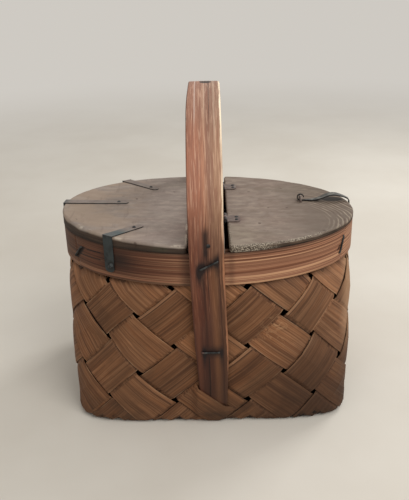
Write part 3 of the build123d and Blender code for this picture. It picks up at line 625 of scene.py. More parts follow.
def strap_finish(name, blue_share, root_start):
    """Thin iron rubbed to the colour of the board on top, black along its edges as painted shade on the
    strip's thickness, and dark down its leg.
    """
    f = Finish(name, metallic=0.08, specular=0.4)
    x, y, z = f.parts(f.place)
    above = z - LEFT_TOP - LEFT_SLOPE * (x * -1 - BOARD_INNER)
    mottle = f.spots(70, 4)
    pits = f.spots(900, 2)
    leg = f.mix(step(mottle, 0.35, 0.65), (27, 29, 29), (50, 56, 56))
    worn = f.mix(step(mottle, 0.35, 0.65), (122, 109, 101), (142, 128, 118))
    worn = f.mix(step(mottle, 0.5, 0.6) * blue_share, worn, (92, 102, 100))
    root = step(x * x / 0.0152 + y * y / 0.0118, root_start, root_start + 0.35) * 0.8
    top = f.mix(root, worn, (78, 86, 86))
    rivet = f.length((x + 0.116, 0, z - 0.2165))
    leg = f.mix(near(rivet, 0.0036, 0.0013) * 0.8, leg, (14, 15, 15))
    leg = f.mix(step(rivet, 0.0028, 0.0016) * 0.7, leg, (78, 84, 86))
    # below its top face: painted shade on its edges, and the leg's own dark colour
    f.colour = f.mix(step(above, STRAP_THICKNESS * 0.55, STRAP_THICKNESS * 0.92), leg, top)
    return f.surface(0.5 + mottle * 0.3, mottle * 0.6 + pits * 0.4, 0.0004, 0.8)


def floor_finish(settings):
    """Plain pale plaster with the faintest mottle, which fades into the background far off."""
    f = Finish("stage_plaster", specular=0.2)
    f.colour = f.mix(step(f.spots(3, 4), 0.3, 0.7), settings.pale, settings.paler)
    material = f.surface(0.9)
    even = f.add("ShaderNodeEmission", {}, {"Color": BACKGROUND})
    near_by = Wire(f, f.shader.outputs["BSDF"])
    far = step(f.length(f.place), 0.9, 2.6)
    both = f.add("ShaderNodeMixShader", {}, {0: far, 1: near_by, 2: even})
    f.feed(f.output.inputs["Surface"], both)
    return material


# ------------------------------------------------------------------ meshes

def new_object(name, mesh):
    thing = bpy.data.objects.new(name, mesh)
    bpy.context.scene.collection.objects.link(thing)
    return thing


def mesh_from(name, points, faces, attributes=None, rounded=False):
    """A mesh with its point attributes, given as name to an array of three numbers a point."""
    mesh = bpy.data.meshes.new(name)
    corners = [tuple(int(i) for i in face) for face in faces]
    mesh.from_pydata(np.reshape(points, (-1, 3)).tolist(), [], corners)
    for key, values in (attributes or {}).items():
        layer = mesh.attributes.new(key, "FLOAT_VECTOR", "POINT")
        layer.data.foreach_set("vector", np.asarray(values, np.float32).ravel())
    mesh.update()
    if rounded:
        mesh.shade_smooth()
    return mesh


def grid_faces(rows, columns, offset=0, closed=False):
    """Quads of a grid of points, row by row; closed joins the last column to the first."""
    i, j = np.meshgrid(np.arange(rows - 1), np.arange(columns if closed else columns - 1), indexing="ij")
    right = (j + 1) % columns
    corners = (i * columns + j, i * columns + right, (i + 1) * columns + right, (i + 1) * columns + j)
    return np.stack(corners, -1).reshape(-1, 4) + offset


def capped_faces(rows, columns):
    """Quads of a closed bar of rings, and a face on each of its ends."""
    ends = [tuple(range(columns))[::-1], tuple(range((rows - 1) * columns, rows * columns))]
    return [tuple(face) for face in grid_faces(rows, columns, closed=True)] + ends


def finished(mesh, material, slot, *nodes, body="basket"):
    """Makes an object of a mesh, gives it its finish, hangs it on its body and hides the parts it stands
    for.
    """
    thing = new_object(mesh.name, mesh)
    mesh.materials.clear()
    mesh.materials.append(material)
    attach(thing, body)
    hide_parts(*nodes)


def ripple(point, scale, seed=0.0):
    """A number between about -1 and 1 that drifts from place to place."""
    return noise.noise(Vector(point) * scale + Vector((seed, seed * 0.7, seed * 1.3)))


# ------------------------------------------------------------------ woven wall

class WovenWall:
    """The wall's outer face: a point for a place round it and a level along its profile."""

    def __init__(self):
        self.levels = np.linspace(-0.06, 0.24, 121)
        self.shares = np.linspace(0, 1, 257)
        sections = [self.quarter(level) for level in self.levels]
        self.x, self.y, self.z, self.length = [np.array(values) for values in zip(*sections)]

    def size(self, level):
        """Half length, half width, squareness and height of the section at a level."""
        if level >= BELLY_LEVEL:
            rise = min((level - BELLY_LEVEL) / (NECK_LEVEL - BELLY_LEVEL), 1)
            swell = math.sqrt(1 - rise ** 2)
            square = NECK_SQUARENESS + (BELLY_SQUARENESS - NECK_SQUARENESS) * swell
            return (NECK_HALF_LENGTH + BELLY_SWELL_LENGTH * swell,
                    NECK_HALF_WIDTH + BELLY_SWELL_WIDTH * swell, square, level)
        fall = min((BELLY_LEVEL - level) / (BELLY_LEVEL - TURN_LEVEL), 1)
        draw = 0.5 - 0.5 * math.cos(math.pi * fall)
        square = BELLY_SQUARENESS + (BASE_SQUARENESS - BELLY_SQUARENESS) * fall
        turn = max(0.0, (TURN_LEVEL - level) / TURN_LENGTH)
        angle = min(turn, 1) * math.pi / 2
        inset = TURN_REACH * (1 - math.cos(angle)) + max(0.0, turn - 1) * TURN_LENGTH
        height = level if turn == 0 else TURN_LEVEL * (1 - math.sin(angle))
        return (NECK_HALF_LENGTH + BELLY_SWELL_LENGTH - BASE_DRAW_LENGTH * draw - inset,
                NECK_HALF_WIDTH + BELLY_SWELL_WIDTH - BASE_DRAW_WIDTH * draw - inset, square, height)

    def quarter(self, level):
        """The section's front right quarter at even steps of its length."""
        half_length, half_width, square, height = self.size(level)
        angle = (0.5 - 0.5 * np.cos(np.linspace(0, math.pi, 1200))) * math.pi / 2
        x = half_length * np.sin(angle) ** (2 / square)
        y = -half_width * np.cos(angle) ** (2 / square)
        run = np.concatenate([[0], np.cumsum(np.hypot(np.diff(x), np.diff(y)))])
        even = self.shares * run[-1]
        return np.interp(even, run, x), np.interp(even, run, y), height, run[-1]

    def row_level(self, column, row):
        """Level of a place in the weave; rows climb a little towards the corners."""
        from_front = np.abs((column + BACK_COLUMN) % HALF_COLUMNS - BACK_COLUMN)
        from_face = np.minimum(from_front, BACK_COLUMN - from_front)
        corner = np.sin(np.pi * np.clip((from_face - CORNER_START) / CORNER_REACH, 0, 1)) ** 2
        return FIRST_ROW + ROW_PITCH * row + CORNER_RISE * corner * (1 - smooth(row, *CORNER_FADE))

    def point(self, column, level):
        """Points of the outer face for columns, 0 at the middle of the front and 6 at the right."""
        column = (np.asarray(column, float) + BACK_COLUMN) % HALF_COLUMNS - BACK_COLUMN
        level = np.asarray(level, float)
        away = np.abs(column)
        behind = away > SIDE_COLUMN
        fold = np.where(behind, BACK_COLUMN - away, away)
        quarter = np.interp(level, self.levels, self.length)
        late = np.clip((fold - 2) / 4, 0, 1)
        run = COLUMN_PITCH * fold + (quarter - SIDE_COLUMN * COLUMN_PITCH) * late ** 2
        run = run - CORNER_SQUEEZE * np.sin(np.pi * late) ** 2
        share = np.clip(run / quarter, 0, 1) * (len(self.shares) - 1)
        at = (level - self.levels[0]) / (self.levels[1] - self.levels[0])
        at = np.clip(at, 0, len(self.levels) - 1.001)
        i, j = at.astype(int), np.minimum(share.astype(int), len(self.shares) - 2)
        p, q = at - i, share - j
        x, y = [t[i, j] * (1 - p) * (1 - q) + t[i + 1, j] * p * (1 - q) + t[i, j + 1] * (1 - p) * q
                + t[i + 1, j + 1] * p * q for t in (self.x, self.y)]
        z = self.z[i] * (1 - p) + self.z[i + 1] * p
        return np.stack([np.sign(column + 1e-12) * x, np.where(behind, -y, y), z], -1)

    def place(self, column, row):
        """Points of the outer face, its outward normals and the levels for places in the weave."""
        level = self.row_level(column, row)
        step_round, step_up = 0.02, 0.0015
        across = self.point(column + step_round, level) - self.point(column - step_round, level)
        up = self.point(column, level + step_up) - self.point(column, level - step_up)
        normal = np.cross(across, up)
        normal /= np.linalg.norm(normal, axis=-1, keepdims=True)
        return self.point(column, level), normal, level


def strip_steps(first, last):
    """Places along a splint, closer together where it dips under or climbs over."""
    half = np.array([0.26, 0.37, 0.42, 0.44, 0.46, 0.48])
    unit = np.concatenate([[-0.5], -half[::-1], [0.0], half])
    places = np.concatenate([n + unit for n in range(math.floor(first) - 1, math.ceil(last) + 2)])
    return places[(places >= first) & (places <= last)]


def cross_steps(width_share):
    """Places across a splint, closer together at its edges."""
    half = np.array([0.4, 0.7, 0.9, 0.97, 1.0])
    return np.concatenate([-half[::-1], [0.0], half]) * width_share / 2


def seat_of(points, out, flipped=False, **values):
    """A splint's flat seat: points, faces and what the weave tree needs to lift it."""
    shape = points.shape[:2]
    kept = {key: np.stack([np.broadcast_to(v, shape) for v in three], -1).reshape(-1, 3)
            for key, three in values.items()}
    faces = grid_faces(*shape)
    return points.reshape(-1, 3), faces[:, ::-1] if flipped else faces, {"out": out.reshape(-1, 3), **kept}


def splint(wall, falling, turn, settings, random):
    """The flat seat of one splint of the wall."""
    shift_round = turn / 2 if falling else -turn / 2
    reach = (-TOP_ROW - 1, -END_ROW) if falling else (END_ROW, TOP_ROW + 1)
    width = settings.falling_width if falling else settings.rising_width
    share = width * MM / STRIP_PITCH * random.uniform(0.985, 1.01)
    steps = strip_steps(reach[0] + shift_round, reach[1] + shift_round)
    a, b = np.meshgrid(steps, cross_steps(share), indexing="ij")
    shift = random.uniform(-STRAY, STRAY)
    wave = random.uniform(0, 6.28)
    # falling splints narrow towards the right, rising ones widen
    rightness = 0.5 + 0.5 * np.sin(np.pi / BACK_COLUMN * (a + shift_round))
    falls, rises = 1 - FALLING_NARROWS * rightness, 1 + RISING_WIDENS * rightness
    narrowing = falls if falling else rises
    neighbour = rises * settings.rising_width if falling else falls * settings.falling_width
    neighbour = neighbour * MM / STRIP_PITCH / 2
    b_placed = b * narrowing + shift + WAVER * np.sin(a * 2.1 + wave)
    if falling:
        a = np.maximum(a, turn / 2 + b_placed - TOP_ROW)
        column, row = turn / 2 + a + b_placed, turn / 2 - a + b_placed
    else:
        a = np.minimum(a, TOP_ROW - b_placed - turn / 2)
        column, row = a - b_placed - turn / 2, a + b_placed + turn / 2
    point, out, level = wall.place(column, row)
    # over or under at each crossing, and how far it arches there
    crossing = np.round(a)
    cell = crossing.astype(int) % CELLS
    over = np.where((np.mod(crossing + shift_round, 2) < 0.5) == falling, 1.0, -1.0)
    away = np.abs(a - crossing)
    height = smooth((0.5 - away) * over, neighbour - 0.5 + DIP_START, DIP_END) * 2 - 1
    belly = np.cos(np.pi * away) ** 2 * np.where(over > 0, 1.0, -0.35)
    puff = random.uniform(0.45, 1.25, CELLS)
    belly *= (1 - 0.22 * (2 * b / share) ** 2) * puff[cell]
    # flat under the rim and at the floor, thin at its edges
    under_rim = smooth(level, *RIM_COVER)
    free = smooth(level, 0.010, 0.034) * (1 - under_rim)
    sunk = 0.5 + 0.5 * smooth(level, 0.0, 0.03) - 0.10 * smooth(level, 0.188, 0.2)
    sunk = settings.press_in * MM * sunk
    taper = np.where(np.abs(b) > share * 0.48, 0.8, 1.0)
    taper = np.where(np.abs(b) > share * 0.499, EDGE_TAPER, taper)
    # dirt and painted shade where it is tucked in, painted shade where it runs under the rim, with its own
    # tone at each crossing
    seams = random.uniform(0.30, 1.0, CELLS)
    tuck = np.where(over < 0, 1 - smooth(away, neighbour + 0.002, neighbour + 0.026), 0.0) * seams[cell]
    tuck = np.maximum(tuck, smooth(level, 0.192, 0.200) * 0.6)
    tones = random.uniform(0.78, 1.16, CELLS)
    tone = random.uniform(0.94, 1.06) * tones[cell] * (1.17 if falling else 0.88)
    return seat_of(point - out * sunk[..., None], out, lift=(height, belly * free, taper),
                   run=(a * STRIP_PITCH, b * STRIP_PITCH, random.uniform(0, 10)),
                   wear=(tuck, tone, smooth(np.abs(b) / share * 2, 0.90, 1.0)))


def leg_outer(height):
    """Distance of the outer face of the handle's leg from the middle at a height."""
    share = np.clip((height - FOOT_BOTTOM) / (TAPER_TOP - FOOT_BOTTOM), 0, 1)
    return FOOT_OUTER + (HANDLE_OUTER - FOOT_OUTER) * share


def foot_splint(wall, turn, settings):
    """The slit lower half of a splint, lifted over the foot of the handle."""
    share = settings.falling_width * MM / STRIP_PITCH
    half = settings.splint_thickness * MM / 2
    across = np.concatenate([[-0.5, -0.49, -0.46], np.linspace(-0.4, 0.07, 8), [0.10, 0.115, 0.12]]) * share
    a, b = np.meshgrid(np.linspace(-0.60, 0.62, 76), across, indexing="ij")
    b_placed = b + 0.06 * smooth(a, 0.1, 0.55) * smooth(b, -0.1, 0.05)
    point, out, level = wall.place(turn / 2 + a + b_placed, b_placed - a)
    over_leg = 1 - smooth(np.abs(point[..., 0]), FOOT_HALF_WIDTH - 0.5 * MM, FOOT_HALF_WIDTH + 9 * MM)
    over_leg = over_leg * smooth(point[..., 2], 0.008, 0.022) * smooth(a, -0.53, -0.46)
    sunk = settings.press_in * MM * (0.5 + 0.5 * smooth(level, 0.0, 0.03))
    crossing = 1 - 2 * smooth(np.abs(a), 0.49, 0.565)
    on_wall = 3.0 * half * crossing - sunk + 0.1 * MM
    on_leg = leg_outer(point[..., 2]) - np.abs(point[..., 1]) + half + 0.15 * MM
    middle = on_wall + (np.maximum(on_leg, on_wall) - on_wall) * over_leg
    taper = np.where(np.abs(b - across.mean()) > np.ptp(across) * 0.49, EDGE_TAPER, 1.0)
    # dirt and painted shade where it tucks under its neighbour
    tuck = smooth(np.abs(a), 0.545, 0.565) * 0.7
    return seat_of(point + out * middle[..., None], out, lift=(0, 0, taper),
                   run=(a * STRIP_PITCH, b * STRIP_PITCH, 2.4),
                   wear=(tuck, 0.98, smooth(b, share * 0.09, share * 0.12)))


def base_place(a, b, turn, falling):
    """Where a splint of the base runs, on the bias."""
    pitch = STRIP_PITCH / math.sqrt(2)
    if falling:
        return (turn / 2 + a + b) * pitch, (turn / 2 - a + b) * pitch
    return (a - b - turn / 2) * pitch, (a + b + turn / 2) * pitch


def base_splints(wall, settings, random):
    """Flat seats of the splints of the base."""
    half_length, half_width, square, _ = wall.size(TURN_LEVEL)
    share = settings.rising_width * MM / STRIP_PITCH
    strips = []
    for falling in (True, False):
        for turn in range(-6, 7, 2):
            a, b = np.meshgrid(strip_steps(-6.0, 6.0), cross_steps(share), indexing="ij")
            x, y = base_place(a, b, turn, falling)
            reach = (np.abs(x) / (half_length - BASE_INSET)) ** square + \
                (np.abs(y) / (half_width - BASE_INSET)) ** square
            inside = reach <= 1
            if not inside.any(axis=0).all():
                continue
            a = np.clip(a, np.where(inside, a, 9).min(axis=0), np.where(inside, a, -9).max(axis=0))
            x, y = base_place(a, b, turn, falling)
            crossing = np.round(a)
            over = np.where((np.mod(crossing + turn / 2, 2) < 0.5) == falling, 1.0, -1.0)
            away = np.abs(a - crossing)
            lifted = over * np.sin(np.clip((0.5 - away) / 0.020, 0, 1) * math.pi / 2)
            taper = np.where(np.abs(b) > share * 0.499, EDGE_TAPER, 1.0)
            seat = np.stack([x, y, np.full(a.shape, BASE_MIDDLE)], -1)
            # the first number of wear is dirt and painted shade where a splint dips under its neighbour
            strips.append(seat_of(seat, np.zeros(seat.shape) - (0, 0, 1), falling, lift=(lifted, 0, taper),
                                  run=(a * STRIP_PITCH, b * STRIP_PITCH, random.uniform(0, 10)),
                                  wear=(smooth(away, 0.46, 0.495), random.uniform(0.85, 1.05), 0)))
    return strips


def gather(strips):
    """One mesh's worth of points, faces and attributes from several strips."""
    starts = np.cumsum([0] + [len(points) for points, _, _ in strips])
    faces = [quads + start for (_, quads, _), start in zip(strips, starts)]
    attributes = {key: np.concatenate([strip[2][key] for strip in strips]) for key in strips[0][2]}
    return np.concatenate([strip[0] for strip in strips]), np.concatenate(faces), attributes


def weave_tree():
    """Geometry nodes that lift flat splints over and under each other and give them thickness."""
    tree = bpy.data.node_groups.new("Weave Splints", "GeometryNodeTree")
    kinds = {"Geometry": "Geometry", "Thickness": "Float", "Clearance": "Float", "Bulge": "Float",
             "Finish": "Material"}
    new_socket = tree.interface.new_socket
    sockets = {name: new_socket(name, in_out="INPUT", socket_type="NodeSocket" + kind).identifier
               for name, kind in kinds.items()}
    new_socket("Geometry", in_out="OUTPUT", socket_type="NodeSocketGeometry")
    s = Sheet(tree)
    given = tree.nodes.new("NodeGroupInput")
    seat, thickness, clearance, bulge, finish = [Wire(s, given.outputs[i]) for i in range(5)]
    out, lift = [s.add("GeometryNodeInputNamedAttribute", {"data_type": "FLOAT_VECTOR"}, {"Name": name})
                 for name in ("out", "lift")]
    over, belly, taper = s.parts(lift)
    rise = over * (thickness * 0.5 + clearance) + belly * bulge - thickness * taper * 0.5
    shift, push = [s.add("ShaderNodeVectorMath", {"operation": "SCALE"}, {0: out, "Scale": scale})
                   for scale in (rise, thickness * taper)]
    inner = s.add("GeometryNodeSetPosition", {}, {"Geometry": seat, "Offset": shift})
    outer = s.add("GeometryNodeExtrudeMesh", {"mode": "FACES"},
                  {"Mesh": inner, "Offset": push, "Offset Scale": 1.0, "Individual": False})
    back = s.add("GeometryNodeFlipFaces", {}, {"Mesh": inner})
    both = s.add("GeometryNodeJoinGeometry", {}, {0: back})
    tree.links.new(outer.socket, both.socket.node.inputs[0])
    whole = s.add("GeometryNodeMergeByDistance", {}, {"Geometry": both, "Distance": 0.02 * MM})
    angle = s.add("GeometryNodeInputMeshEdgeAngle", {}, {})
    flat = s.add("FunctionNodeCompare", {"data_type": "FLOAT", "operation": "LESS_THAN"},
                 {0: angle, 1: SHARP_ANGLE})
    rounded = s.add("GeometryNodeSetShadeSmooth", {"domain": "EDGE"},
                    {"Geometry": whole, "Selection": True, "Shade Smooth": flat})
    real = s.add("GeometryNodeRealizeInstances", {}, {"Geometry": rounded})
    painted = s.add("GeometryNodeSetMaterial", {}, {"Geometry": real, "Material": finish})
    tree.links.new(painted.socket, tree.nodes.new("NodeGroupOutput").inputs[0])
    return tree, sockets


def grown(name, seat, tree, sockets, values, falling=False):
    """The mesh that a node tree makes of a splint's seat, kept just above the floor."""
    seed = new_object(name + "_seat", mesh_from(name + "_seat", *seat))
    modifier = seed.modifiers.new("grow", "NODES")
    modifier.node_group = tree
    for key, value in values.items():
        modifier[sockets[key]] = value
    seed.update_tag()
    bpy.context.view_layer.update()
    depsgraph = bpy.context.evaluated_depsgraph_get()
    made = bpy.data.meshes.new_from_object(seed.evaluated_get(depsgraph), depsgraph=depsgraph)
    made.name = name
    places = np.empty(3 * len(made.vertices), np.float32)
    made.vertices.foreach_get("co", places)
    low = FLOOR_GAP + FALLING_RISE * falling
    places[2::3] = low + FLOOR_EASE * np.logaddexp(0.0, (places[2::3] - low) / FLOOR_EASE)
    made.vertices.foreach_set("co", places)
    made.update()
    seed.modifiers.clear()
    bpy.data.objects.remove(seed)
    return made


# ------------------------------------------------------------------ property groups

def size(name, text, default, low, high):
    """A size in millimetres."""
    text += ", in millimetres"
    return FloatProperty(name=name, description=text, default=default, min=low, max=high)


def colour(name, text, *default):
    """A colour in display values."""
    return FloatVectorProperty(name=name, description=text, default=default, size=3, min=0, max=255)


class BASKET_PG_weave(bpy.types.PropertyGroup):
    falling_width: size("Falling splints", "Width of the splints that fall to the right", 55.2, 40, 60)
    rising_width: size("Rising splints", "Width of the splints that rise to the right", 50.8, 40, 60)
    splint_thickness: size("Splint thickness", "Thickness of a splint", 1.35, 0.8, 2.0)
    bulge: size("Bulge", "How far a splint arches over its neighbour", 1.5, 0, 2.5)
    press_in: size("Depth", "From the wall's face to the middle of the weave", 3.0, 2, 4)
    seed: IntProperty(name="Seed", description="Picks the small differences between splints", default=7)
    dark: colour("Dark grain", "Grain colour", 93, 59, 37)
    light: colour("Light grain", "Colour between the grain lines", 142, 98, 66)
    warm: colour("Warm patches", "Less weathered wood", 130, 84, 52)
    grime: colour("Grime", "Dull patches", 82, 57, 38)


class BASKET_PG_rim(bpy.types.PropertyGroup):
    groove_depth: size("Groove depth", "Depth of the split along the front strip", 0.6, 0, 1.5)
    arris: size("Arris radius", "Rounding of the strips' edges", 1.1, 0.3, 1.9)
    dark: colour("Dark grain", "Grain colour", 104, 64, 44)
    light: colour("Light grain", "Colour between the grain lines", 168, 120, 92)
    warm: colour("Warm patches", "Reddish bands", 148, 96, 68)


class BASKET_PG_handle(bpy.types.PropertyGroup):
    lean: size("Lean", "How far the crown stands to the left of the feet", 5.2, 0, 8)
    arris: size("Arris radius", "Rounding of the worn edges", 2.2, 0.5, 3.2)
    dark: colour("Dark fibre", "Fibre colour", 92, 56, 44)
    light: colour("Light fibre", "Worn fibre colour", 204, 164, 138)


class BASKET_PG_boards(bpy.types.PropertyGroup):
    wear: size("Wear", "How far the arrises are worn away", 1.3, 0, 2.5)
    dark: colour("Dark grain", "Grain colour", 119, 106, 97)
    light: colour("Light grain", "Colour between the grain lines", 151, 138, 128)
    warm: colour("Warm patches", "Brown patches", 133, 114, 105)


class BASKET_PG_stage(bpy.types.PropertyGroup):
    key_power: FloatProperty(name="Key light", description="Power of the large soft light", default=21.0,
                             unit="POWER", min=0)
    edge_power: FloatProperty(name="Edge light", description="Power of the light behind the right side",
                              default=9.0, unit="POWER", min=0)
    sky: FloatProperty(name="Sky", description="Strength of the even light from all round",
                       default=0.62, min=0)
    pale: colour("Pale", "Floor colour", 206, 199, 187)
    paler: colour("Paler", "Its lighter patches", 214, 208, 197)


# ------------------------------------------------------------------ operators

class BASKET_OT_weave(bpy.types.Operator):
    """Weave the wall from separate splints, with the two that hold the handle's feet"""
    bl_idname = "basket.weave"
    bl_label = "Weave"

    def execute(self, context):
        settings = context.scene.basket_weave
        wall = WovenWall()
        finish = splint_finish(settings)
        tree, sockets = weave_tree()
        values = {"Thickness": settings.splint_thickness * MM, "Clearance": 0.05 * MM,
                  "Bulge": settings.bulge * MM, "Finish": finish}
        random = np.random.default_rng(settings.seed)
        for name, falling in (("splints_falling", True), ("splints_rising", False)):
            strips = [splint(wall, falling, turn, settings, random) for turn in range(0, HALF_COLUMNS, 2)]
            mesh = grown(name, gather(strips), tree, sockets, values, falling)
            finished(mesh, finish, "splint_wood", "woven_body")
        for side, turn in (("front", 0), ("back", HALF_COLUMNS)):
            mesh = grown("foot_splint_" + side, foot_splint(wall, turn, settings), tree, sockets, values)
            finished(mesh, finish, "splint_wood", "tuck_splint_" + side)
        mesh = grown("splints_base", gather(base_splints(wall, settings, random)), tree, sockets, values)
        finished(mesh, finish, "splint_wood", "woven_body")
        return {"FINISHED"}


def swept(middles, sides, ups, widths, heights, profile):
    """A closed bar along a path: profile points run from -1 to 1 over its width and height."""
    travelled = np.concatenate([[0], np.cumsum(np.linalg.norm(np.diff(middles, axis=0), axis=1))])
    across = profile[None, :, 0] * widths[:, None] / 2
    up = profile[None, :, 1] * heights[:, None] / 2
    points = middles[:, None] + sides[:, None] * across[..., None] + ups[:, None] * up[..., None]
    run = np.stack([np.broadcast_to(travelled[:, None], across.shape), across, 0 * across], -1)
    return points, capped_faces(len(middles), len(profile)), run


def bar_profile(width, height, radius, steps=4, flat_steps=10):
    """Points of a rounded rectangle, anticlockwise, in shares of half its width and height."""
    points = []
    for cx, cy, start in ((1, 1, 0), (-1, 1, 90), (-1, -1, 180), (1, -1, 270)):
        for turn in range(steps + 1):
            angle = math.radians(start + 90 * turn / steps)
            points.append((cx * (width / 2 - radius) + radius * math.cos(angle),
                           cy * (height / 2 - radius) + radius * math.sin(angle)))
    dense = []
    for (x0, y0), (x1, y1) in zip(points, points[1:] + points[:1]):
        pieces = max(1, round(math.hypot(x1 - x0, y1 - y0) / (width / flat_steps)))
        dense += [(x0 + (x1 - x0) * i / pieces, y0 + (y1 - y0) * i / pieces) for i in range(pieces)]
    return np.array([(x / (width / 2), y / (height / 2)) for x, y in dense])


class BASKET_OT_handle(bpy.types.Operator):
    """Bend the hoop handle, with worn arrises and a slight lean"""
    bl_idname = "basket.handle"
    bl_label = "Handle"

    def execute(self, context):
        settings = context.scene.basket_handle
        path, normals, widths, thicks = handle_path()
        profile = bar_profile(HANDLE_WIDTH / MM, HANDLE_THICKNESS / MM, settings.arris, flat_steps=16)
        sides = np.tile([1.0, 0.0, 0.0], (len(path), 1))
        middles = path - normals * (thicks / 2)[:, None]
        points, faces, run = swept(middles, sides, normals, widths, thicks, profile)
        run[..., 2] = profile[None, :, 1] * thicks[:, None] / 2
        for i, normal in enumerate(normals):
            for k, (across, depth) in enumerate(profile):
                points[i, k] = handle_wear(points[i, k], normal, across, depth, settings)
        points[..., 0] = np.clip(points[..., 0], HANDLE_LOW.x - LEAN_ROOM, HANDLE_HIGH.x + LEAN_ROOM)
        mesh = mesh_from("bent_handle", points, faces, {"run": run}, True)
        finished(mesh, handle_finish(settings), "handle_wood", "handle_hoop")
        return {"FINISHED"}


def handle_wear(place, normal, across, depth, settings):
    """A point of the new handle moved to where wear and the lean have left it."""
    bend = settings.lean * MM * (0.5 - smooth(place[2], 0.05, 0.27))
    worn = abs(across) ** 6
    chip = ripple((place[0] * 8, place[1], place[2]), 34, 3.0) * CHIP_DEPTH * worn
    crown = -FACE_CROWN * across ** 2 * (depth > 0)
    lump = ripple(place, 22, 9.0) * LUMP_HEIGHT - LUMP_SINK
    moved = place + normal * (crown + lump * max(0.0, depth))
    moved[0] += bend - math.copysign(max(0.0, chip) + EDGE_LOSS * worn, moved[0]) * worn
    if moved[0] < 0:
        below = min(max((CREST_LEVEL - moved[2]) / CREST_DEPTH, 0.0), 1.0)
        moved[0] += CREST_CUT * worn * (1 - math.sqrt(below)) ** 1.4
    return moved


def handle_path():
    """Outer face of the hoop from the front foot over the crown to the back foot."""
    rows = []
    for t in np.linspace(0, 1, 12, endpoint=False):
        height = FOOT_BOTTOM + (TAPER_TOP - FOOT_BOTTOM) * t
        width = FOOT_HALF_WIDTH * 2 + (HANDLE_WIDTH - FOOT_HALF_WIDTH * 2) * t
        thick = FOOT_THICKNESS + (HANDLE_THICKNESS - FOOT_THICKNESS) * t
        rows.append((0, -leg_outer(height), height, 0, -1, 0, width, thick))
    for z in np.linspace(TAPER_TOP, ARCH_BASE, 22, endpoint=False):
        rows.append((0, -HANDLE_OUTER, z, 0, -1, 0, HANDLE_WIDTH, HANDLE_THICKNESS))
    leg = np.array(rows)
    rows = []
    for angle in np.linspace(0, math.pi, 73):
        y, z = -math.cos(angle), math.sin(angle)
        rows.append((0, y * HANDLE_OUTER, ARCH_BASE + z * HANDLE_OUTER, 0, y, z,
                     HANDLE_WIDTH, HANDLE_THICKNESS))
    back_leg = leg[::-1] * (1, -1, 1, 1, -1, 1, 1, 1)
    path = np.concatenate([leg, np.array(rows), back_leg])
    return path[:, :3], path[:, 3:6], path[:, 6], path[:, 7]


class BASKET_OT_rim(bpy.types.Operator):
    """Bend the outer rim strips, front and back, and the hoop inside the wall"""
    bl_idname = "basket.rim"
    bl_label = "Rim"

    def execute(self, context):
        settings = context.scene.basket_rim
        finish = band_finish(settings)
        left = math.asin(LEFT_JOINT_SETBACK / RIM_HALF_WIDTH)
        right = math.asin(RIGHT_JOINT_SETBACK / RIM_HALF_WIDTH)
        front = rim_strip("front_rim_strip", -math.pi + left, -right, 0.0, settings)
        back = rim_strip("back_rim_strip", -right, math.pi + left, 4.0, settings)
        hoop = hoop_ring("inner_rim_hoop", settings)
        for mesh, node in ((front, "rim_band_front"), (back, "rim_band_back"), (hoop, "rim_hoop_inner")):
            finished(mesh, finish, "band_wood", node)
        return {"FINISHED"}


def bent_row(angles, inset, depth, middle, rise, seed):
    """A line of a strip bent round the rim: its points and where they lie along the grain."""
    half_length, half_width = RIM_HALF_LENGTH - inset, RIM_HALF_WIDTH - inset
    points = np.stack([half_length * np.cos(angles), half_width * np.sin(angles), 0 * angles], -1)
    normals = np.stack([np.cos(angles) / half_length, np.sin(angles) / half_width, 0 * angles], -1)
    normals /= np.linalg.norm(normals, axis=1, keepdims=True)
    points -= normals * np.reshape(depth, (-1, 1))
    points[:, 2] = middle + rise
    along = angles * (half_length + half_width) / 2
    return points, np.stack([along, 0 * along + rise, 0 * along + seed], -1)


def slant_at(angle, up):
    """How far a strip's end moves round the rim for a height on it."""
    return (RIGHT_SLANT if math.cos(angle) > 0 else LEFT_SLANT) * (up + 1)


def rim_strip(name, start, end, seed, settings):
    """An outer strip whose ends are cut on a slant, split along its face if it is the front one."""
    profile = bar_profile(RIM_HEIGHT / MM, RIM_THICKNESS / MM, settings.arris, steps=3, flat_steps=18)
    middle, rows = (RIM_TOP + RIM_BOTTOM) / 2, []
    for up, out in profile:
        angles = np.linspace(start + slant_at(start, up), end + slant_at(end, up), 150)
        rise = up * RIM_HEIGHT / 2
        groove = math.exp(-((rise + middle - RIM_SPLIT_LEVEL) / GROOVE_HALF_WIDTH) ** 2)
        fade = smooth(-RIM_HALF_LENGTH * np.cos(angles), -0.02, 0.03) * (seed == 0.0 and out > 0)
        depth = (1 - out) * RIM_THICKNESS / 2 + groove * fade * settings.groove_depth * MM
        rows.append(bent_row(angles, 0.0, depth, middle, rise, seed))
    points, run = np.transpose(rows, (1, 2, 0, 3))
    for i, ring in enumerate(points):
        ring[profile[:, 0] < -0.5, 2] += ripple((i * 0.11, seed, 0), 1.0) * 0.3 * MM + 0.3 * MM
    faces = [face[::-1] for face in capped_faces(*points.shape[:2])]
    return mesh_from(name, points, faces, {"run": run}, True)


def hoop_ring(name, settings):
    """The inner hoop as one closed ring."""
    low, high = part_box("rim_hoop_inner")
    height = high.z - low.z
    profile = bar_profile(height / MM, RIM_THICKNESS / MM, settings.arris, steps=3, flat_steps=8)
    angles = np.linspace(0, 2 * math.pi, 160, endpoint=False)
    rows = [bent_row(angles, HOOP_INSET, (1 - out) * RIM_THICKNESS / 2, (low.z + high.z) / 2,
                     up * height / 2, 7.0) for up, out in profile]
    points, run = np.transpose(rows, (1, 0, 2, 3))
    faces = grid_faces(len(profile) + 1, len(angles), closed=True) % (len(profile) * len(angles))
    return mesh_from(name, points, faces, {"run": run}, True)


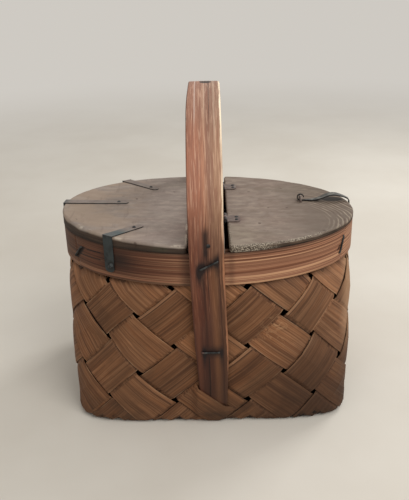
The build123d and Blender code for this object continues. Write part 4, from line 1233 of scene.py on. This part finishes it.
class BASKET_OT_boards(bpy.types.Operator):
    """Cut the two lid boards with worn arrises, and the centre bar between them"""
    bl_idname = "basket.boards"
    bl_label = "Boards"

    def execute(self, context):
        settings = context.scene.basket_boards
        finish = board_finish(settings)
        for name, node, body, sizes in (("fixed_board", "lid_left", "basket", FIXED_BOARD),
                                        ("hinged_board", "lid_right", "lid", HINGED_BOARD)):
            mesh = board_mesh(name, node, settings, **sizes)
            finished(mesh, finish, "lid_wood", node, body=body)
        finished(bar_mesh("crossbar"), finish, "lid_wood", "centre_bar")
        return {"FINISHED"}


def board_outline(half_length, inner, side, steps=110):
    """Half an oval with softened corners, anticlockwise from above."""
    half_width = RIM_HALF_WIDTH + 0.4 * MM
    start = math.acos(inner / half_length)
    angles = np.linspace(-start, start, steps)
    arc = np.stack([half_length * np.cos(angles), half_width * np.sin(angles)], -1)
    edge_y = np.linspace(arc[-1, 1], arc[0, 1], 42)[1:-1]
    line = np.concatenate([arc, np.stack([0 * edge_y + inner, edge_y], -1)])
    for corner in (steps - 1, 0):
        line[corner] += ((line[corner - 1] + line[(corner + 1) % len(line)]) / 2 - line[corner]) * 0.5
    return (line * [-1, 1])[::-1] if side < 0 else line


def board_mesh(name, node, settings, side, inner_thick, outer_thick, radius):
    """A board of rings: up its side, over the worn arris and in to the middle of its top."""
    low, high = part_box(node)
    inner_x, outer_x = (low.x, high.x) if side > 0 else (high.x, low.x)
    line = board_outline(abs(outer_x), abs(inner_x), side)
    along = np.roll(line, -1, 0) - np.roll(line, 1, 0)
    outward = np.stack([along[:, 1], -along[:, 0]], -1)
    outward /= np.linalg.norm(outward, axis=1, keepdims=True)
    bottom, middle, reach = low.z, line.mean(0), abs(low.x - high.x)

    def thickness(x):
        return inner_thick + (outer_thick - inner_thick) * np.clip(np.abs(x - inner_x) / reach, 0, 1)

    share, thick = np.abs(line[:, 0] - inner_x) / reach, thickness(line[:, 0])
    wear = [ripple((x, y, 0.3), 38, 2.0) + 0.25 * ripple((x, y, 0), 160, 5.0) for x, y in line]
    wear = np.maximum(wear, 0.0) * settings.wear * MM * 1.6
    worn = np.minimum(radius + wear, thick * 0.6)
    rings, runs = [], []

    def ring(inset, z, rise, share_in=0.0, under=0.0):
        flat = line - outward * np.reshape(inset, (-1, 1))
        flat = flat + (middle - flat) * share_in
        rings.append(np.stack([flat[:, 0], flat[:, 1], z + 0 * thick], -1))
        runs.append(np.stack([share, 0 * share + rise, 0 * share + under], -1))

    chamfer = 0.7 * MM
    for inset, share_in in ((4, 0.55), (2, 0.0), (0.5, 0.0)):
        ring(inset * MM, bottom, 0.0, share_in, 1.0)
    for t in (0, 0.25, 0.5, 0.75):
        ring(0.15 * MM * math.sin(t * 3.1), bottom + chamfer + (thick - worn - chamfer) * t, 0.12 + 0.6 * t)
    for angle in (0, 22.5, 45, 67.5, 90):
        a = math.radians(angle)
        ring(worn * (1 - math.cos(a)), bottom + thick - worn * (1 - math.sin(a)), 0.8 + 0.3 * angle / 90)
    top_start = len(rings) * len(line)
    for inset, rise in ((4.5, 1.25), (7, 1.5)):
        ring(np.maximum(inset * MM, worn * 1.2), bottom + thick, rise)
    count = len(line)
    faces = capped_faces(len(rings), count)[:-1]
    points, top_faces = spread(rings[-1][:, :2], np.reshape(rings, (-1, 3)), (len(rings) - 1) * count)
    run = np.concatenate([np.reshape(runs, (-1, 3)),
                          np.tile([0.5, 2.0, 0.0], (len(points) - len(rings) * count, 1))])
    for spot in points[top_start:]:
        spot[2] = bottom + thickness(spot[0])
        spot[2] += (ripple(spot, 14, 1.0) - 0.6) * 0.35 * MM
    return mesh_from(name, points, faces + top_faces, {"run": run}, True)


def spread(outline, points, first, pitch=6.0 * MM):
    """Fills an outline, whose points start at first, with an even net of triangles."""
    low, high = outline.min(0), outline.max(0)
    x, y = np.meshgrid(np.arange(low[0], high[0], pitch), np.arange(low[1], high[1], pitch))
    net = np.stack([x.ravel(), y.ravel()], -1)
    offset = net[:, None] - outline[None]
    side = np.roll(outline, -1, 0) - outline
    inside = (side[:, 0] * offset[..., 1] - side[:, 1] * offset[..., 0] > 0).all(1)
    net = net[inside & (np.linalg.norm(offset, axis=2).min(1) > pitch * 0.6)]
    flat = [Vector(p) for p in np.concatenate([outline, net])]
    border = [list(range(len(outline)))]
    got, _, triangles, sources, _, _ = geometry.delaunay_2d_cdt(flat, [], border, 1, 1e-7)
    index, extra = [], []
    for spot, source in zip(got, sources):
        if source and source[0] < len(outline):
            index.append(first + source[0])
        else:
            index.append(len(points) + len(extra))
            extra.append((spot.x, spot.y, 0.0))
    return np.concatenate([points, np.array(extra)]), [tuple(index[i] for i in t) for t in triangles]


def bar_mesh(name):
    """The sawn centre bar with softened arrises."""
    low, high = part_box("centre_bar")
    width, height = high.x - low.x, high.z - low.z
    profile = bar_profile(width / MM, height / MM, 1.6, steps=3, flat_steps=8)
    count = 60
    stations = np.linspace(low.y, high.y, count)
    middles = np.stack([0 * stations, stations, 0 * stations + (low.z + high.z) / 2], -1)
    sides, ups = np.tile([-1.0, 0, 0], (count, 1)), np.tile([0.0, 0, 1.0], (count, 1))
    points, faces, run = swept(middles, sides, ups, np.full(count, width), np.full(count, height), profile)
    run[..., 1] = 2.0
    return mesh_from(name, points, faces, {"run": run}, True)


class BASKET_OT_iron(bpy.types.Operator):
    """Forge the hasp and give every strap, hinge, nail and staple its finish"""
    bl_idname = "basket.iron"
    bl_label = "Ironwork"

    def execute(self, context):
        dark_iron = iron_finish("dark_iron", (30, 31, 31), (76, 77, 75), 0.10)
        hasp_iron = hasp_finish()
        leaf_iron = iron_finish("leaf_iron", (112, 97, 91), (136, 122, 113), 0.22, (92, 62, 60))
        dull_iron = iron_finish("dull_iron", (114, 101, 94), (136, 123, 114), 0.15, (92, 66, 60))
        front_strap = strap_finish("front_strap_iron", 0.9, 1.15)
        worn_strap = strap_finish("worn_strap_iron", 0.15, 2.10)
        finishes = {"strap_front_left": front_strap, "strap_back_left": worn_strap,
                    "strap_end_left": worn_strap, "hinge_front_lid_leaf": leaf_iron,
                    "hinge_back_lid_leaf": dull_iron, "hasp_staple": dull_iron}
        finished(hasp_mesh("forged_hasp"), hasp_iron, "iron", "hasp", body="hasp")
        for name, node in frame["nodes"].items():
            if not node.hide_render:
                node.data.materials.clear()
                node.data.materials.append(finishes.get(name, dark_iron))
        return {"FINISHED"}


def hasp_path():
    """The middle of the hasp's strip seen from the front and its width, in millimetres from the eye."""
    roll = 4.2
    eye = [(roll * math.cos(a), roll * math.sin(a), 1.9) for a in np.radians(range(0, 271, 10))]
    bow = [(along, up - roll, width) for along, up, width in (
        (5, 0.0, 2.8), (9, 0.0, 4.4), (15, 0.1, 6.5), (21, 0.8, 8.5), (27, 2.6, 10.3), (33, 5.4, 11.8),
        (38, 7.1, 12.6), (43, 7.6, 12.7), (48, 7.3, 12.2), (53, 5.8, 10.4), (58, 4.0, 8.0))]
    nose_x = (HASP_HIGH.x - HASP_AXIS.x) / MM - 2.9
    end_z = (HASP_LOW.z - HASP_AXIS.z) / MM + 0.1
    nose = [(nose_x + x, z - roll, 4.8 + wider) for x, z, wider in (
        (-1.6, 1.2, 0.2), (0.0, -2.0, 0.0), (0.0, -7.0, 0.0), (0.1, -14.0, 0.0), (2.0, -21.0, 0.0))]
    return np.array(eye + bow + nose + [(nose_x + 2.1, end_z, 4.4)]) * MM + (HASP_AXIS.x, HASP_AXIS.z, 0.0)


def hasp_mesh(name):
    """One forged strip: scroll, leaf-shaped bow and nose."""
    coarse = hasp_path()
    travelled = np.concatenate([[0], np.cumsum(np.hypot(*np.diff(coarse[:, :2], axis=0).T))])
    even = np.linspace(0, travelled[-1], 190)
    spots = np.stack([np.interp(even, travelled, coarse[:, k]) for k in range(3)], -1)
    for _ in range(3):
        spots[1:-1] = spots[1:-1] * 0.5 + (spots[:-2] + spots[2:]) * 0.25
    ahead = np.gradient(spots[:, :2], axis=0)
    ahead /= np.linalg.norm(ahead, axis=1, keepdims=True)
    middles = np.stack([spots[:, 0], 0 * even + HASP_AXIS.y, spots[:, 1]], -1)
    ups = np.stack([-ahead[:, 1], 0 * even, ahead[:, 0]], -1)
    sides = np.tile([0.0, 1.0, 0.0], (len(spots), 1))
    profile = bar_profile(8.0, HASP_THICKNESS / MM, 0.45, steps=2, flat_steps=6)
    points, faces, run = swept(middles, sides, ups, spots[:, 2], 0 * even + HASP_THICKNESS, profile)
    run[..., 2] = profile[None, :, 0]
    return mesh_from(name, points, [face[::-1] for face in faces], {"run": run}, True)


class BASKET_OT_stage(bpy.types.Operator):
    """Set the floor, lights and camera"""
    bl_idname = "basket.stage"
    bl_label = "Stage"

    def execute(self, context):
        scene = context.scene
        settings = scene.basket_stage
        corners = [(x, y, 0.0) for y in (-STAGE_REACH, STAGE_REACH) for x in (-STAGE_REACH, STAGE_REACH)]
        floor = new_object("floor_sheet", mesh_from("floor_sheet", corners, grid_faces(2, 2)))
        floor.data.materials.append(floor_finish(settings))
        lamp("key_light", KEY_PLACE, KEY_WIDTH, settings.key_power)
        lamp("edge_light", EDGE_PLACE, EDGE_WIDTH, settings.edge_power)
        scene.world = even_sky(settings)
        scene.view_settings.view_transform = "Standard"
        scene.camera = view_camera()
        return {"FINISHED"}


def even_sky(settings):
    """Even light from all round, with the plain background where the camera looks past the floor."""
    world = bpy.data.worlds.new("even_sky")
    world.use_nodes = True
    s = Sheet(world.node_tree)
    s.tree.nodes.clear()
    sky = s.add("ShaderNodeBackground", {}, {"Color": SKY_COLOUR, "Strength": settings.sky})
    seen = s.add("ShaderNodeBackground", {}, {"Color": BACKGROUND, "Strength": 1.0})
    ray = s.add("ShaderNodeLightPath", {}, {}, "Is Camera Ray")
    both = s.add("ShaderNodeMixShader", {}, {0: ray, 1: sky, 2: seen})
    s.feed(s.tree.nodes.new("ShaderNodeOutputWorld").inputs["Surface"], both)
    return world


def lamp(name, place, width, power):
    """A soft square light turned to the basket."""
    light = bpy.data.lights.new(name, "AREA")
    light.size = width
    light.energy = power
    thing = new_object(name, light)
    thing.location = place
    thing.rotation_euler = (Vector((0, 0, 0.2)) - Vector(place)).to_track_quat("-Z", "Y").to_euler()


def view_camera():
    """The camera at the viewing angle: a level one turned by yaw, pitch and roll."""
    camera = bpy.data.cameras.new("view")
    camera.sensor_fit = "VERTICAL"
    camera.sensor_height = CAMERA_SENSOR
    camera.lens = CAMERA_LENS
    turns = [Matrix.Rotation(angle, 4, axis) for angle, axis in (
        (-CAMERA_YAW, "Z"), (math.pi / 2 - CAMERA_PITCH, "X"), (CAMERA_ROLL, "Z"))]
    thing = new_object("view", camera)
    thing.matrix_world = Matrix.Translation(CAMERA_PLACE) @ turns[0] @ turns[1] @ turns[2]
    return thing


# ------------------------------------------------------------------ panel and registration

STEPS = (BASKET_OT_weave, BASKET_OT_handle, BASKET_OT_rim, BASKET_OT_boards, BASKET_OT_iron, BASKET_OT_stage)
SETTINGS = {"basket_weave": BASKET_PG_weave, "basket_rim": BASKET_PG_rim, "basket_handle": BASKET_PG_handle,
            "basket_boards": BASKET_PG_boards, "basket_stage": BASKET_PG_stage}


class BASKET_PT_panel(bpy.types.Panel):
    """Lists the basket's pieces and their settings"""
    bl_idname = "BASKET_PT_panel"
    bl_label = "Splint Basket"
    bl_space_type = "VIEW_3D"
    bl_region_type = "UI"
    bl_category = "Basket"

    def draw(self, context):
        for operator in STEPS:
            self.layout.operator(operator.bl_idname)
        for key, group in SETTINGS.items():
            box = self.layout.box()
            for name in group.__annotations__:
                box.prop(getattr(context.scene, key), name)


def register():
    for group in (*SETTINGS.values(), *STEPS, BASKET_PT_panel):
        bpy.utils.register_class(group)
    for key, group in SETTINGS.items():
        setattr(bpy.types.Scene, key, PointerProperty(type=group))


def unregister():
    for key in SETTINGS:
        delattr(bpy.types.Scene, key)
    for group in reversed((*SETTINGS.values(), *STEPS, BASKET_PT_panel)):
        bpy.utils.unregister_class(group)


def main():
    register()
    bpy.ops.basket.weave()
    bpy.ops.basket.handle()
    bpy.ops.basket.rim()
    bpy.ops.basket.boards()
    bpy.ops.basket.iron()
    bpy.ops.basket.stage()


if __name__ == "__main__":
    main()
